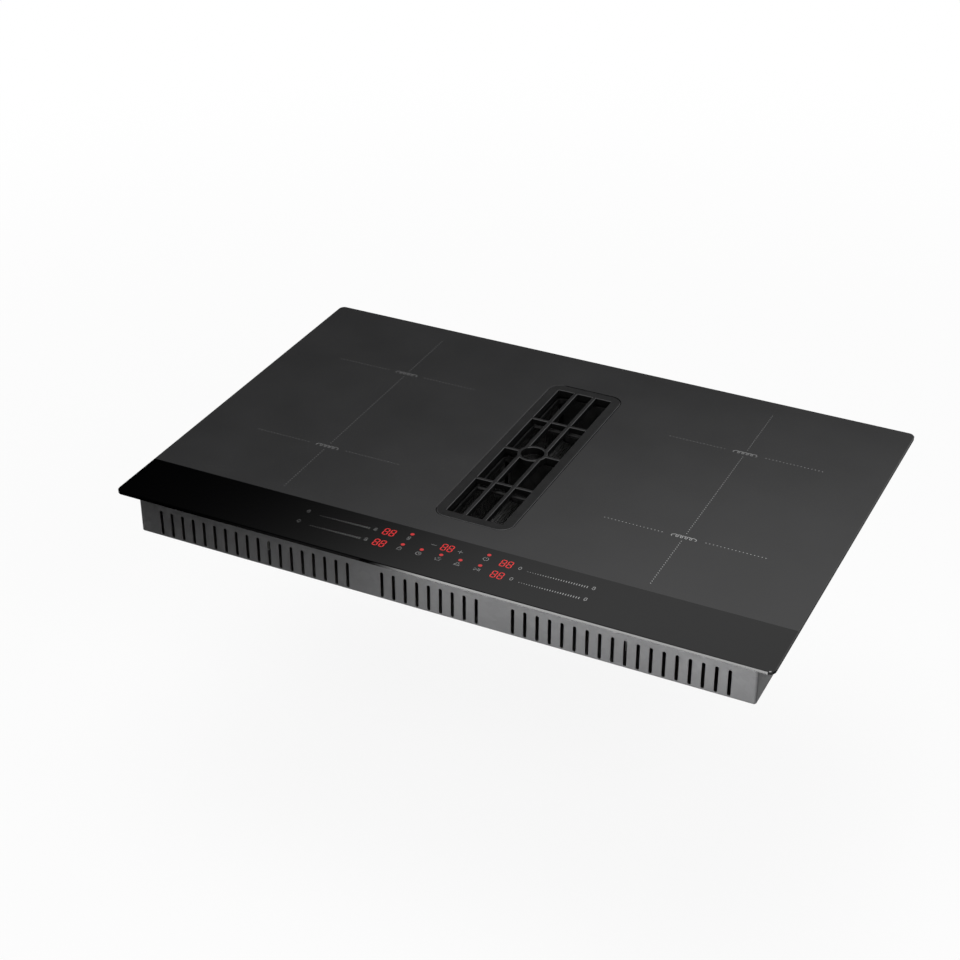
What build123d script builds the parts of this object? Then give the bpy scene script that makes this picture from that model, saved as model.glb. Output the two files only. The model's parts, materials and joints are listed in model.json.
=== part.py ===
from build123d import *
import math
import os

# Built-in induction hob with a downdraft extractor. Millimetres, z up, x to the right, y to the back.
# The origin is on the underside of the fan housing, below the middle of the glass.

# Glass plate
glass_width = 780
glass_depth = 520
glass_thick = 4
glass_corner = 8
glass_arris = 0.7
total_height = 200
glass_low = total_height - glass_thick

# Vent opening, centred on the vent line
vent_y = 21
vent_width = 94
vent_length = 332
vent_corner = 16
vent_gap = 0.5

# Sheet-metal housing
pan_width = 740
pan_depth = 489.4
pan_low = 142.4
pan_high = 195.6
pan_corner = 3
sheet = 1
pan_floor = pan_low + sheet
pan_front = -pan_depth / 2
slot_pitch = 14.2
slot_width = 4
slot_length = 32
slot_mid = 161.1
slot_count_side = 24
slot_skipped = (5, 6)
wire_gap = 8
wire_hole = (50, 22)
wire_hole_y = 196
bracket_hole = 2.1

# Intake well
well_width = 128
well_length = 346
well_wall = 2
well_low = 94
well_flange_high = 194.5
well_flange_width = 150
well_flange_length = 368
mouth_width = 76
mouth_length = 314
inlet_y = 100
drain_y = -95
drain_radius = 15
inlet_radius = 56

# Grille
bar_pitch_y = 76.5
bar_x = 12.25
long_bar = 4.5
cross_bar = 4
ring_outer = 17.5
ring_inner = 14
rim_width = 12
skirt_low = 191
bar_low = 193
bar_bevel = 0.5

# Grease filters
filter_width = 68
filter_length = 150
filter_gap = 6
filter_low = 128
filter_high = 190
filter_wall = 2

# Fan
scroll_high = 92
scroll_split = 46
scroll_wall = 2.5
scroll_radius = 102
scroll_step = 16
scroll_back = 222
impeller_radius = 84
lug_hole = 1.7
hanger_hole = 2.3
outlet_width = 222
outlet_height = 89
outlet_end = 250

# Coils
coil_x = 223
coil_back_y = 129
coil_front_y = -70
coil_radius = 90
coil_eye = 22
deck_low = 174
deck_high = 175.5
carrier_low = 182
winding_low = 187
mica_low = 195

# Boards and cooling fans
board_x = 215
board_low = 149
board_high = 150.6
board_width = 250
board_depth = 190
board_y = -50
cool_y = 95
cool_size = 80
cool_high = 163.4

# Controls
tray_y = -211
tray_low = 180
control_high = tray_low + 5.6

os.makedirs("parts", exist_ok=True)


def slab(width, depth, low, high, corner=0, x=0, y=0):
    outline = RectangleRounded(width, depth, corner) if corner else Rectangle(width, depth)
    return extrude(Pos(x, y, low) * outline, amount=high - low)


def disc(radius, low, high, x=0, y=0):
    return Pos(x, y, (low + high) / 2) * Cylinder(radius, high - low)


def save(node, *shapes):
    solids = [solid for shape in shapes for solid in shape.solids()]
    export_step(Compound(solids), f"parts/{node}.step")


def pan_head_screw(shank_radius, shank_length, head_radius, head_height):
    """Screw with its head's seat at the origin and its shank along -z."""
    shank = Pos(0, 0, -shank_length / 2) * Cylinder(shank_radius, shank_length)
    head = Pos(0, 0, head_height / 2) * Cylinder(head_radius, head_height)
    head = fillet(head.edges().group_by(Axis.Z)[-1], head_height * 0.45)
    cross = Box(head_radius * 1.1, head_radius * 0.25, head_height)
    cross += Box(head_radius * 0.25, head_radius * 1.1, head_height)
    return shank + head - Pos(0, 0, head_height * 0.95) * cross


# ---- glass and its frame ----

def make_glass():
    glass = slab(glass_width, glass_depth, glass_low, total_height, glass_corner)
    hole = (vent_width + 2 * vent_gap, vent_length + 2 * vent_gap)
    glass -= slab(*hole, glass_low, total_height, vent_corner + vent_gap, y=vent_y)
    glass = chamfer(glass.edges().group_by(Axis.Z)[-1], glass_arris)
    return glass


def make_worktop_seal():
    width, inset, thick = 10, 2, 2
    outer = slab(glass_width - 2 * inset, glass_depth - 2 * inset, glass_low - thick, glass_low, 6)
    shrink = 2 * (inset + width)
    return outer - slab(glass_width - shrink, glass_depth - shrink, glass_low - thick, glass_low, 2)


def make_glass_frame():
    web, leg, thick, leg_low = 8, 1.5, 1.5, 182
    width = pan_width - 2 * sheet
    depth = pan_depth - 2 * sheet
    corner = pan_corner - sheet
    web_low = glass_low - thick
    frame = slab(width, depth, web_low, glass_low, corner)
    frame -= slab(width - 2 * web, depth - 2 * web, web_low, glass_low, 1)
    wall = slab(width, depth, leg_low, web_low, corner)
    wall -= slab(width - 2 * leg, depth - 2 * leg, leg_low, web_low, 0.5)
    return frame + wall - side_screw_holes()


# ---- sheet-metal housing ----

bracket_x = 345
bracket_y = 190
gland_x = 290
side_screw_y = (-180, -60, 60, 180)
back_screw_x = (-300, -150, 0, 150, 300)
side_screw_z = 188
side_screw_hole = 1.5


def side_screw_holes():
    hole = Cylinder(side_screw_hole, 8)
    holes = [
        Pos(side * pan_width / 2, y, side_screw_z) * Rot(0, 90, 0) * hole
        for side in (-1, 1)
        for y in side_screw_y
    ]
    return holes + [Pos(x, pan_depth / 2, side_screw_z) * Rot(90, 0, 0) * hole for x in back_screw_x]


def slot_positions():
    steps = [i for i in range(-slot_count_side, slot_count_side + 1) if abs(i) not in slot_skipped]
    return [i * slot_pitch for i in steps]


def make_pan():
    pan = slab(pan_width, pan_depth, pan_low, pan_high, pan_corner)
    pan = fillet(pan.edges().group_by(Axis.Z)[0], 2)
    hollow = slab(pan_width - 2 * sheet, pan_depth - 2 * sheet, pan_floor, pan_high, pan_corner - sheet)
    pan -= fillet(hollow.edges().group_by(Axis.Z)[0], 1)
    slot = extrude(Plane.XZ * SlotOverall(slot_length, slot_width, rotation=90), amount=3, both=True)
    cuts = [Pos(x, pan_front, slot_mid) * slot for x in slot_positions()]
    # the wires of the fan go down in front of the well and behind it
    cuts.append(slab(well_width + 2, well_length + 2 * wire_gap, pan_low, pan_floor, 6, y=vent_y))
    air_slot, air_width, vent_pitch, vents_aside = 64, 4, 9, 4
    vent = extrude(SlotOverall(air_slot, air_width, rotation=90), amount=sheet)
    for side in (-1, 1):
        for i in range(-vents_aside, vents_aside + 1):
            cuts.append(Pos(side * board_x + i * vent_pitch, cool_y, pan_low) * vent)
        for y in (-bracket_y, bracket_y):
            cuts.append(disc(bracket_hole, pan_low, pan_floor, side * bracket_x, y))
    cuts += [disc(bracket_hole, pan_low, pan_floor, *place) for place, degrees in hangers]
    cuts.append(slab(*wire_hole, pan_low, pan_floor, 6, gland_x, wire_hole_y))
    return pan - cuts - side_screw_holes()


def make_pan_screws():
    screw = pan_head_screw(1.45, 6, 3, 2)
    screws = []
    for side in (-1, 1):
        turn = Pos(side * pan_width / 2, 0, side_screw_z) * Rot(0, side * 90, 0)
        screws += [Pos(0, y, 0) * turn * screw for y in side_screw_y]
    turn = Pos(0, pan_depth / 2, side_screw_z) * Rot(-90, 0, 0)
    screws += [Pos(x, 0, 0) * turn * screw for x in back_screw_x]
    return screws


# ---- intake well, grille, filters, tank ----

def make_well_flange():
    """Flat frame that closes the top of the well round its mouth and carries the grille."""
    flange_low = well_flange_high - well_wall
    flange = slab(well_flange_width, well_flange_length, flange_low, well_flange_high, 12, y=vent_y)
    return flange - slab(mouth_width, mouth_length, flange_low, well_flange_high, 4, y=vent_y)


def make_well():
    high = well_flange_high - well_wall
    well = slab(well_width, well_length, well_low, high, 6, y=vent_y)
    inner = (well_width - 2 * well_wall, well_length - 2 * well_wall)
    well -= slab(*inner, well_low + well_wall, high, 4, y=vent_y)
    well -= disc(inlet_radius, well_low, well_low + well_wall, 0, inlet_y)
    spout_low = well_low - 1.6
    well += disc(drain_radius, spout_low, well_low, 0, drain_y)
    well -= disc(drain_radius - 2, spout_low, well_low + well_wall, 0, drain_y)
    return well


def make_filter_posts():
    """Eight pegs that stand on the floor of the well and carry the two filters."""
    post_radius = 4
    post_low = well_low + well_wall
    return [disc(post_radius, post_low, filter_low, x, y) for x in (-20, 20) for y in (-118, 6, 36, 162)]


def make_well_seal():
    seal = slab(146, 364, well_flange_high, glass_low, 10, y=vent_y)
    return seal - slab(104, 342, well_flange_high, glass_low, 18, y=vent_y)


def make_grille():
    opening = (vent_width - 2 * rim_width, vent_length - 2 * rim_width)
    rim = slab(vent_width, vent_length, well_flange_high, total_height, vent_corner)
    rim -= slab(*opening, well_flange_high, total_height, 2)
    grille = chamfer(rim.edges().group_by(Axis.Z)[-1], bar_bevel)
    skirt = slab(opening[0] + 4, opening[1] + 4, skirt_low, well_flange_high, 4)
    grille += skirt - slab(*opening, skirt_low, well_flange_high, 2)
    across = [slab(opening[0] + 2, cross_bar, bar_low, total_height, y=i * bar_pitch_y) for i in (-1, 0, 1)]
    along = [slab(long_bar, opening[1] + 2, bar_low, total_height, x=x) for x in (-bar_x, bar_x)]
    for bars, axis in ((across, Axis.X), (along, Axis.Y)):
        for bar in bars:
            grille += chamfer(bar.edges().filter_by(axis).group_by(Axis.Z)[-1], bar_bevel)
    eye = disc(ring_inner, bar_low - 2, total_height)
    ring = disc(ring_outer, bar_low - 2, total_height) - eye
    grille += chamfer(ring.edges().group_by(Axis.Z)[-1], bar_bevel)
    return Pos(0, vent_y, 0) * (grille - eye)


def filter_centre(side):
    return vent_y + side * (filter_length + filter_gap) / 2


def trough(width, length, low, high, round_radius):
    """A long block with its two lower long edges rounded."""
    block = slab(width, length, low, high)
    return fillet(block.edges().filter_by(Axis.Y).group_by(Axis.Z)[0], round_radius)


def make_filter(side):
    rim_low = filter_high - 6
    inner = (filter_width - 2 * filter_wall, filter_length - 2 * filter_wall)
    rim = slab(filter_width, filter_length, rim_low, filter_high, 8)
    rim -= slab(*inner, rim_low, filter_high, 6)
    end = trough(filter_width - 16, filter_wall, filter_low, rim_low, 12)
    offset = (filter_length - filter_wall) / 2
    frame = rim + Pos(0, offset, 0) * end + Pos(0, -offset, 0) * end
    frame += Pos(0, 0, rim_low + 3) * Rot(0, 90, 0) * Cylinder(2.5, inner[0] + 1)
    mesh = trough(filter_width, inner[1], filter_low, rim_low, 16)
    mesh -= trough(inner[0], inner[1], filter_low + filter_wall, rim_low, 14)
    place = Pos(0, filter_centre(side), 0)
    return place * frame, place * mesh


tank_low = 70
tank_high = 92
tank_y = -85
tank_width = 104
tank_length = 90
tank_ledge = 3


def make_tank():
    """Open tank that hangs by two ledges and pulls out to the front like a drawer."""
    tank = slab(tank_width, tank_length, tank_low, tank_high, 8, y=tank_y)
    tank = fillet(tank.edges().group_by(Axis.Z)[0], 4)
    inside = slab(tank_width - 4, tank_length - 4, tank_low + 2, tank_high, 6, y=tank_y)
    tank -= fillet(inside.edges().group_by(Axis.Z)[0], 2)
    for side in (-1, 1):
        ledge_x = side * (tank_width + tank_ledge) / 2
        tank += slab(tank_ledge, tank_length - 20, tank_high - 6, tank_high - 4, x=ledge_x, y=tank_y)
    return tank + slab(40, 6, tank_high - 6, tank_high - 3, y=tank_y - tank_length / 2 - 2.5)


def make_tank_rails():
    """Two angle rails under the well, whose feet carry the ledges of the tank."""
    foot_high = tank_high - 6.2
    rails = []
    for side in (-1, 1):
        web_x = side * (tank_width / 2 + tank_ledge + 1)
        web = slab(1.4, tank_length, foot_high - 1.4, well_low, x=web_x, y=tank_y)
        foot = slab(4, tank_length, foot_high - 1.4, foot_high, x=web_x - side * 1.3, y=tank_y)
        rails.append(web + foot)
    return rails


# ---- fan ----

scroll_half = scroll_step / 2
arc_centres = [
    (-scroll_half, inlet_y - scroll_half),
    (scroll_half, inlet_y - scroll_half),
    (scroll_half, inlet_y + scroll_half),
]
scroll_right = scroll_half + scroll_radius + 2 * scroll_step
scroll_left = scroll_right - outlet_width
outlet_x = (scroll_left + scroll_right) / 2


def on_spiral(arc, degrees, outside):
    """Point outside one of the three arcs, counted in degrees from +x."""
    x, y = arc_centres[arc]
    radius = scroll_radius + arc * scroll_step + outside
    turn = math.radians(degrees)
    return x + radius * math.cos(turn), y + radius * math.sin(turn)


hangers = [
    (on_spiral(1, 225, 14), 45),
    (on_spiral(2, 315, 14), 135),
    ((scroll_right + 14, 205), 180),
    ((scroll_left - 14, 205), 0),
]
lugs = [
    (on_spiral(0, 165, 3), -15),
    (on_spiral(1, 200, 3), 20),
    (on_spiral(1, 255, 3), 75),
    (on_spiral(2, 290, 3), 110),
    (on_spiral(2, 340, 3), 160),
    ((scroll_right + 3, 160), 180),
    ((scroll_left - 3, 180), 0),
]


def scroll_outline(inset):
    """Snail outline of three quarter arcs that grow by a step, and a straight way out to the back."""
    radii = [scroll_radius + i * scroll_step - inset for i in range(3)]
    left = scroll_left + inset
    right = scroll_right - inset
    start = math.degrees(math.acos((left - arc_centres[0][0]) / radii[0]))
    arcs = [
        CenterArc(arc_centres[0], radii[0], start, 180 - start),
        CenterArc(arc_centres[1], radii[1], 180, 90),
        CenterArc(arc_centres[2], radii[2], 270, 90),
    ]
    lines = [
        Line(arcs[2] @ 1, (right, scroll_back)),
        Line((right, scroll_back), (left, scroll_back)),
        Line((left, scroll_back), arcs[0] @ 0),
    ]
    return make_face(Curve() + arcs + lines)


def tongue():
    """Wall that keeps the first part of the spiral apart from the way out."""
    first, sweep = 75, 60
    arc_out = CenterArc(arc_centres[0], scroll_radius, first, sweep)
    arc_in = CenterArc(arc_centres[0], scroll_radius - scroll_wall, first, sweep)
    ends = [Line(arc_out @ 0, arc_in @ 0), Line(arc_out @ 1, arc_in @ 1)]
    return make_face(Curve() + [arc_out, arc_in] + ends)


def ear(place, degrees, radius, reach, low, high):
    """Round ear with an arm that reaches inwards to the wall of the scroll."""
    arm = slab(reach, 2 * radius - 2, low, high, x=reach / 2)
    return Pos(*place, 0) * Rot(0, 0, degrees) * (disc(radius, low, high) + arm)


def scroll_shell(low, high, cavity_low, cavity_high, ear_low, ear_high):
    shell = extrude(Pos(0, 0, low) * scroll_outline(0), amount=high - low)
    for place, degrees in hangers:
        shell += ear(place, degrees, 8, 16, ear_low, ear_high)
    for place, degrees in lugs:
        shell += ear(place, degrees, 5, 6, ear_low, ear_high)
    height = cavity_high - cavity_low
    shell -= extrude(Pos(0, 0, cavity_low) * scroll_outline(scroll_wall), amount=height)
    way_out = (outlet_width - 2 * scroll_wall, 3 * scroll_wall)
    shell -= slab(*way_out, cavity_low, cavity_high, x=outlet_x, y=scroll_back)
    shell += extrude(Pos(0, 0, cavity_low) * tongue(), amount=height)
    return shell - [disc(lug_hole, ear_low, ear_high, *place) for place, degrees in lugs]


def make_scroll():
    top_low = scroll_high - scroll_wall
    lower = scroll_shell(0, scroll_split, scroll_wall, scroll_split, scroll_split - 4, scroll_split)
    lower += disc(motor_recess + 3, 0, motor_floor, 0, inlet_y)
    lower -= disc(motor_recess, 0, motor_floor - scroll_wall, 0, inlet_y)
    lower -= [disc(lug_hole, 0, motor_floor, x, y) for x, y in motor_bolts()]
    upper = scroll_shell(scroll_split, scroll_high, scroll_split, top_low, scroll_split, scroll_split + 4)
    pillar_radius = 7
    for place, degrees in hangers:
        upper += disc(pillar_radius, scroll_split + 4, pan_low, *place)
    upper -= disc(inlet_radius, top_low, scroll_high, 0, inlet_y)
    bolts = [disc(hanger_hole, scroll_split - 4, pan_low, *place) for place, degrees in hangers]
    return upper - bolts, lower - bolts


def make_fan_screws():
    """Long screws up into the housing, short ones through both shells, and four into the motor."""
    long_screw = Rot(180, 0, 0) * pan_head_screw(2, pan_low + 6 - (scroll_split - 4), 4, 3)
    short_screw = Rot(180, 0, 0) * pan_head_screw(1.6, 7.5, 3, 2.2)
    seat = scroll_split - 4
    screws = [Pos(*place, seat) * long_screw for place, degrees in hangers]
    screws += [Pos(*place, seat) * short_screw for place, degrees in lugs]
    motor_screw = Rot(180, 0, 0) * pan_head_screw(1.6, 6, 3, 2)
    return screws + [Pos(x, y, motor_floor - scroll_wall) * motor_screw for x, y in motor_bolts()]


def make_fan_seal():
    outer, inner = 61.5, 57
    return disc(outer, scroll_high, well_low, 0, inlet_y) - disc(inner, scroll_high, well_low, 0, inlet_y)


def make_bell_mouth():
    """Curved inlet ring: a flange on the floor of the well, and a throat into the impeller."""
    floor = well_low + well_wall
    low = 79
    profile = [
        Line((49, low), (51.5, low)),
        Line((51.5, low), (51.5, floor)),
        Line((51.5, floor), (58.5, floor)),
        Line((58.5, floor), (58.5, floor + 1.5)),
        ThreePointArc((58.5, floor + 1.5), (51.9, floor - 1.6), (49, low)),
    ]
    ring = revolve(make_face(Curve() + [Plane.XZ * edge for edge in profile]), Axis.Z)
    return Pos(0, inlet_y, 0) * ring


rotor_radius = 38
motor_recess = 46
motor_floor = 6.5
shaft_radius = 4


def motor_bolts():
    circle = 30
    turns = [math.radians(45 + 90 * i) for i in range(4)]
    return [(circle * math.cos(turn), inlet_y + circle * math.sin(turn)) for turn in turns]


def make_impeller():
    low, plate, blade_high, high = 20, 2.5, 72, 75
    wheel = disc(impeller_radius, low, low + plate)
    shroud = disc(impeller_radius, blade_high, high) - disc(54, blade_high, high)
    outer_point, mid_point, inner_point = (80, 18), (66, 24), (50, 16)
    spine = ThreePointArc(outer_point, mid_point, inner_point)
    blade = extrude(Pos(0, 0, low + plate) * make_face(offset(spine, 1)), amount=blade_high - low - plate)
    for i in range(11):
        shroud += Rot(0, 0, i * 360 / 11) * blade
    cup = disc(rotor_radius + 2, low, 60) - disc(rotor_radius, low, 57)
    wheel -= disc(rotor_radius, low, low + plate)
    return Pos(0, inlet_y, 0) * (wheel + shroud + cup - disc(shaft_radius + 2, 57, 60))


def make_motor_rotor():
    """Steel bell pressed into the impeller's hub, with the shaft's boss in its middle."""
    ring = disc(rotor_radius, 22, 57) - disc(rotor_radius - 3, 22, 54)
    boss = disc(shaft_radius + 2, 50, 60)
    return Pos(0, inlet_y, 0) * (ring + boss - disc(shaft_radius, 50, 60))


def make_motor_shaft():
    return Pos(0, inlet_y, 0) * disc(shaft_radius, 12, 60)


def make_motor_stator():
    base = disc(42, motor_floor, 10)
    core = disc(12, 10, 50)
    poles = [Rot(0, 0, i * 40) * slab(20, 7, 24, 48, x=20) for i in range(9)]
    for pole in poles:
        core += pole
    stator = base + core - disc(shaft_radius + 0.05, 11.5, 50)
    holes = [disc(lug_hole, motor_floor, 10, x, y - inlet_y) for x, y in motor_bolts()]
    return Pos(0, inlet_y, 0) * (stator - holes)


# ---- outlet and its backflow flaps ----

flap_y = 230
flap_pin = 1.5
flap_height = 38.5
flap_tops = (85.5, 44.5)
sleeve_wall = 2
sleeve_z = 46


def make_outlet_collar():
    x = outlet_x
    collar = Pos(x, scroll_back + 1.5, sleeve_z) * Box(outlet_width, 3, scroll_high)
    length = outlet_end - scroll_back
    middle = scroll_back + length / 2
    collar += Pos(x, middle, sleeve_z) * Box(outlet_width, length, outlet_height)
    inside = (outlet_width - 2 * sleeve_wall, outlet_height - 2 * sleeve_wall)
    collar -= Pos(x, middle, sleeve_z) * Box(inside[0], length, inside[1])
    for top in flap_tops:
        collar -= Pos(x, flap_y, top) * Rot(0, 90, 0) * Cylinder(flap_pin + 0.05, outlet_width - 1)
        for side in (-1, 1):
            stop_x = x + side * (inside[0] / 2 - 2)
            collar += Pos(stop_x, flap_y - 2.2, top - flap_height / 2 - 4) * Box(4, 2, 10)
    return collar


def make_flap(top):
    width = outlet_width - 2 * sleeve_wall - 2
    plate = Pos(outlet_x, flap_y, top - flap_height / 2) * Box(width, 1.6, flap_height)
    pin = Pos(outlet_x, flap_y, top) * Rot(0, 90, 0) * Cylinder(flap_pin, outlet_width - 2)
    return plate + pin


# ---- coils and decks ----

coil_places = {
    "rear_left": (-coil_x, coil_back_y),
    "rear_right": (coil_x, coil_back_y),
    "front_left": (-coil_x, coil_front_y),
    "front_right": (coil_x, coil_front_y),
}
ferrite_count = 8
ferrite_mid = 56
ferrite_length = 54
ferrite_width = 11


def make_winding(x, y):
    winding = disc(coil_radius, winding_low, mica_low) - disc(coil_eye, winding_low, mica_low)
    groove_low, groove_pitch, half_groove = mica_low - 1.5, 10, 0.8
    for i in range(6):
        radius = coil_eye + 9 + i * groove_pitch
        groove = disc(radius + half_groove, groove_low, mica_low)
        winding -= groove - disc(radius - half_groove, groove_low, mica_low)
    return Pos(x, y, 0) * winding


def make_carrier(x, y):
    carrier = disc(coil_radius + 4, carrier_low, winding_low) - disc(8, carrier_low, winding_low)
    slot = slab(ferrite_length + 2, ferrite_width + 2, carrier_low, winding_low - 2, x=ferrite_mid)
    slots = [Rot(0, 0, i * 360 / ferrite_count) * slot for i in range(ferrite_count)]
    return Pos(x, y, 0) * (carrier - slots)


def make_ferrites():
    bar = slab(ferrite_length, ferrite_width, carrier_low, winding_low - 2, x=ferrite_mid)
    turns = [Rot(0, 0, i * 360 / ferrite_count) * bar for i in range(ferrite_count)]
    return [Pos(x, y, 0) * one for x, y in coil_places.values() for one in turns]


def make_sensors():
    sensor = disc(7.8, winding_low - 3, mica_low) + disc(10, winding_low, winding_low + 2)
    return [Pos(x, y, 0) * sensor for x, y in coil_places.values()]


def make_springs():
    outer, inner, circle = 5, 3.8, 78
    spring = disc(outer, deck_high, carrier_low) - disc(inner, deck_high, carrier_low)
    around = [math.radians(22.5 + 120 * i) for i in range(3)]
    return [
        Pos(x + circle * math.cos(a), y + circle * math.sin(a), 0) * spring
        for x, y in coil_places.values()
        for a in around
    ]


deck_y = 33
deck_width = 284
deck_depth = 396
pillar_spots = [(x, y) for x in (-130, 130) for y in (-185, 185)]
stud_radius = 1.5
stud_hole = 1.6


def make_mica():
    return [slab(272, 396, mica_low, glass_low, 4, x=side * coil_x, y=deck_y) for side in (-1, 1)]


def make_deck(side):
    deck = slab(deck_width, deck_depth, deck_low, deck_high, 4, x=side * coil_x, y=deck_y)
    holes = [disc(30, deck_low, deck_high, side * coil_x, y) for y in (coil_back_y, coil_front_y)]
    holes += [disc(stud_hole, deck_low, deck_high, side * coil_x + x, deck_y + y) for x, y in pillar_spots]
    return deck - holes


def make_pillars():
    pillar = extrude(Pos(0, 0, pan_floor) * RegularPolygon(4, 6), amount=deck_low - pan_floor)
    pillar += disc(stud_radius, deck_low, deck_high + 2)
    return [Pos(side * coil_x + x, deck_y + y, 0) * pillar for side in (-1, 1) for x, y in pillar_spots]


# ---- power boards and cooling fans ----

board_feet = [(x, y) for x in (-115, 115) for y in (-85, 85)]
block_parts = [(-85, -60, 34, 26, 20), (-85, -15, 26, 26, 16), (80, 60, 40, 22, 14), (-80, 60, 30, 18, 12)]
can_parts = [(85, -65, 9, 20), (85, -40, 9, 20), (62, -52, 7, 16), (-60, 30, 7, 14), (100, 10, 6, 12)]


def make_power_board(side):
    board = slab(board_width, board_depth, board_low, board_high, 3)
    for x, y, width, depth, height in block_parts:
        board += slab(width, depth, board_high, board_high + height, x=side * x, y=y)
    for x, y, radius, height in can_parts:
        board += disc(radius, board_high, board_high + height, side * x, y)
    board -= [disc(stud_hole, board_low, board_high, x, y) for x, y in board_feet]
    return Pos(side * board_x, board_y, 0) * board


def make_heat_sink(side):
    width, length, base, fin, fin_count, fin_high = 56, 150, 4, 1.6, 8, 22
    sink = slab(width, length, board_high, board_high + base)
    pitch = (width - fin) / (fin_count - 1)
    for i in range(fin_count):
        fin_x = (fin - width) / 2 + i * pitch
        sink += slab(fin, length, board_high + base, board_high + fin_high, x=fin_x)
    return Pos(side * board_x, board_y, 0) * sink


def make_board_feet():
    foot = disc(4, pan_floor, board_low) + disc(stud_radius, board_low, board_high + 2)
    return [Pos(side * board_x + x, board_y + y, 0) * foot for side in (-1, 1) for x, y in board_feet]


def make_fan_frame(side):
    frame = slab(cool_size, cool_size, pan_floor, cool_high, 5) - disc(38, pan_floor, cool_high)
    frame += disc(15, pan_floor, pan_floor + 2)
    arm = slab(28, 4, pan_floor, pan_floor + 2, x=26)
    for i in range(4):
        frame += Rot(0, 0, 45 + 90 * i) * arm
    frame += disc(2, pan_floor, pan_floor + 10)
    return Pos(side * board_x, cool_y, 0) * frame


def make_fan_rotor(side):
    low, high = pan_floor + 3, cool_high - 1
    rotor = disc(14, low, high) - disc(2.1, low, pan_floor + 10.2)
    blade_turn = 42
    blade = Pos(24.5, 0, (low + high) / 2) * Rot(blade_turn, 0, 0) * Box(23, 17, 1.4)
    blade &= disc(36, low, high)
    for i in range(7):
        rotor += Rot(0, 0, i * 360 / 7) * blade
    return Pos(side * board_x, cool_y, 0) * rotor


# ---- controls under the glass ----

display_places = [(-70.5, -202), (-70.5, -225), (0.5, -202), (71, -202), (71, -225)]
lamp_places = [(-46, -194.5), (47, -194.5)]
lamp_places += [(x, -216.8) for x in (-46, -23, 0.5, 23.5, 47)]
touch_places = [(-46, -204.5), (47, -204.5), (-15.5, -203), (16.5, -203)]
touch_places += [(x, -227) for x in (-46, -23, 0.5, 23.5, 47)]
touch_places += [(side * (92 + 11 * i), y) for side in (-1, 1) for i in range(8) for y in (-203, -225)]


def make_control_tray():
    tray = slab(400, 46, tray_low, tray_low + 8, 3, y=tray_y)
    tray -= slab(396, 42, tray_low + 2, tray_low + 8, 2, y=tray_y)
    for side in (-1, 1):
        tray += slab(20, 14, tray_low, tray_low + 2, x=side * 209, y=tray_y)
        tray += slab(2, 14, pan_floor, tray_low + 2, x=side * 218, y=tray_y)
    posts = [disc(3, tray_low + 2, tray_low + 4, x, tray_y) for x in (-190, -120, 120, 190)]
    for post in posts:
        tray += post
    return tray


def make_control_board():
    return slab(394, 40, tray_low + 4, control_high, 2, y=tray_y)


def make_displays():
    return [slab(17, 14, control_high, glass_low, 0.5, x, y) for x, y in display_places]


def make_lamps():
    return [disc(2.75, control_high, glass_low, x, y) for x, y in lamp_places]


def make_touch_springs():
    ring = disc(3.4, control_high, glass_low) - disc(2.4, control_high, glass_low - 1)
    return [Pos(x, y, 0) * ring for x, y in touch_places]


# ---- mains terminal box ----

box_y = 205
box_width = 100
box_depth = 66
box_low = 112.4
gland_z = 127
gland_bore = 6.5
gland_relief = 7.4
knuckle_radius = 4
pivot_place = (box_y - box_depth / 2 - 4.5, box_low + 3.6)


def make_terminal_box():
    box = slab(box_width, box_depth, box_low, pan_low, 3, gland_x, box_y)
    box -= slab(*wire_hole, pan_low - 2, pan_low, 6, gland_x, wire_hole_y)
    back = box_y + box_depth / 2
    box -= Pos(gland_x, back, gland_z) * Rot(90, 0, 0) * Cylinder(9, 10)
    for side in (-1, 1):
        knuckle = Pos(gland_x + side * 24, *pivot_place) * Rot(0, 90, 0) * Cylinder(knuckle_radius, 12)
        strap = Pos(gland_x + side * 24, box_y - box_depth / 2 - 1, pivot_place[1]) * Box(12, 6, 5)
        box += knuckle + strap
    box -= slab(box_width - 4, box_depth - 4, box_low, pan_low - 2, 2, gland_x, box_y)
    return box - Pos(gland_x, *pivot_place) * Rot(0, 90, 0) * Cylinder(1.55, 58)


def make_terminal_cover():
    """Flat lid that swings down about a pin along its front edge."""
    cover = slab(box_width, box_depth, box_low - 2, box_low, 3, gland_x, box_y)
    tab_depth = 12
    tab_y = box_y - box_depth / 2 - tab_depth / 2 + 4
    cover += slab(34, tab_depth, box_low - 2, box_low, x=gland_x, y=tab_y)
    cover += Pos(gland_x, *pivot_place) * Rot(0, 90, 0) * Cylinder(knuckle_radius, 34)
    return cover + Pos(gland_x, *pivot_place) * Rot(0, 90, 0) * Cylinder(1.5, 57)


def make_terminal_block():
    low, bore_high, y, pitch, bore = box_low + 10, box_low + 17.6, box_y + 1, 12, 2.6
    block = slab(62, 22, low, pan_low - 2, 1, gland_x, y)
    return block - [disc(bore, low, bore_high, gland_x + i * pitch, y) for i in range(-2, 3)]


def make_gland():
    """Gland with its axis along y; only its outer half fits the cable closely."""
    length, close_length = 18, 9.5
    hexagon = extrude(RegularPolygon(12, 6), amount=3, both=True)
    gland = hexagon + Cylinder(8.9, length) + Pos(0, 0, -length / 3) * Cylinder(10.5, 6)
    gland -= Cylinder(gland_bore, length)
    gland -= Pos(0, 0, close_length / 2) * Cylinder(gland_relief, length - close_length)
    return Pos(gland_x, box_y + box_depth / 2 + 3, gland_z) * Rot(90, 0, 0) * gland


# ---- write every piece ----

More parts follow.
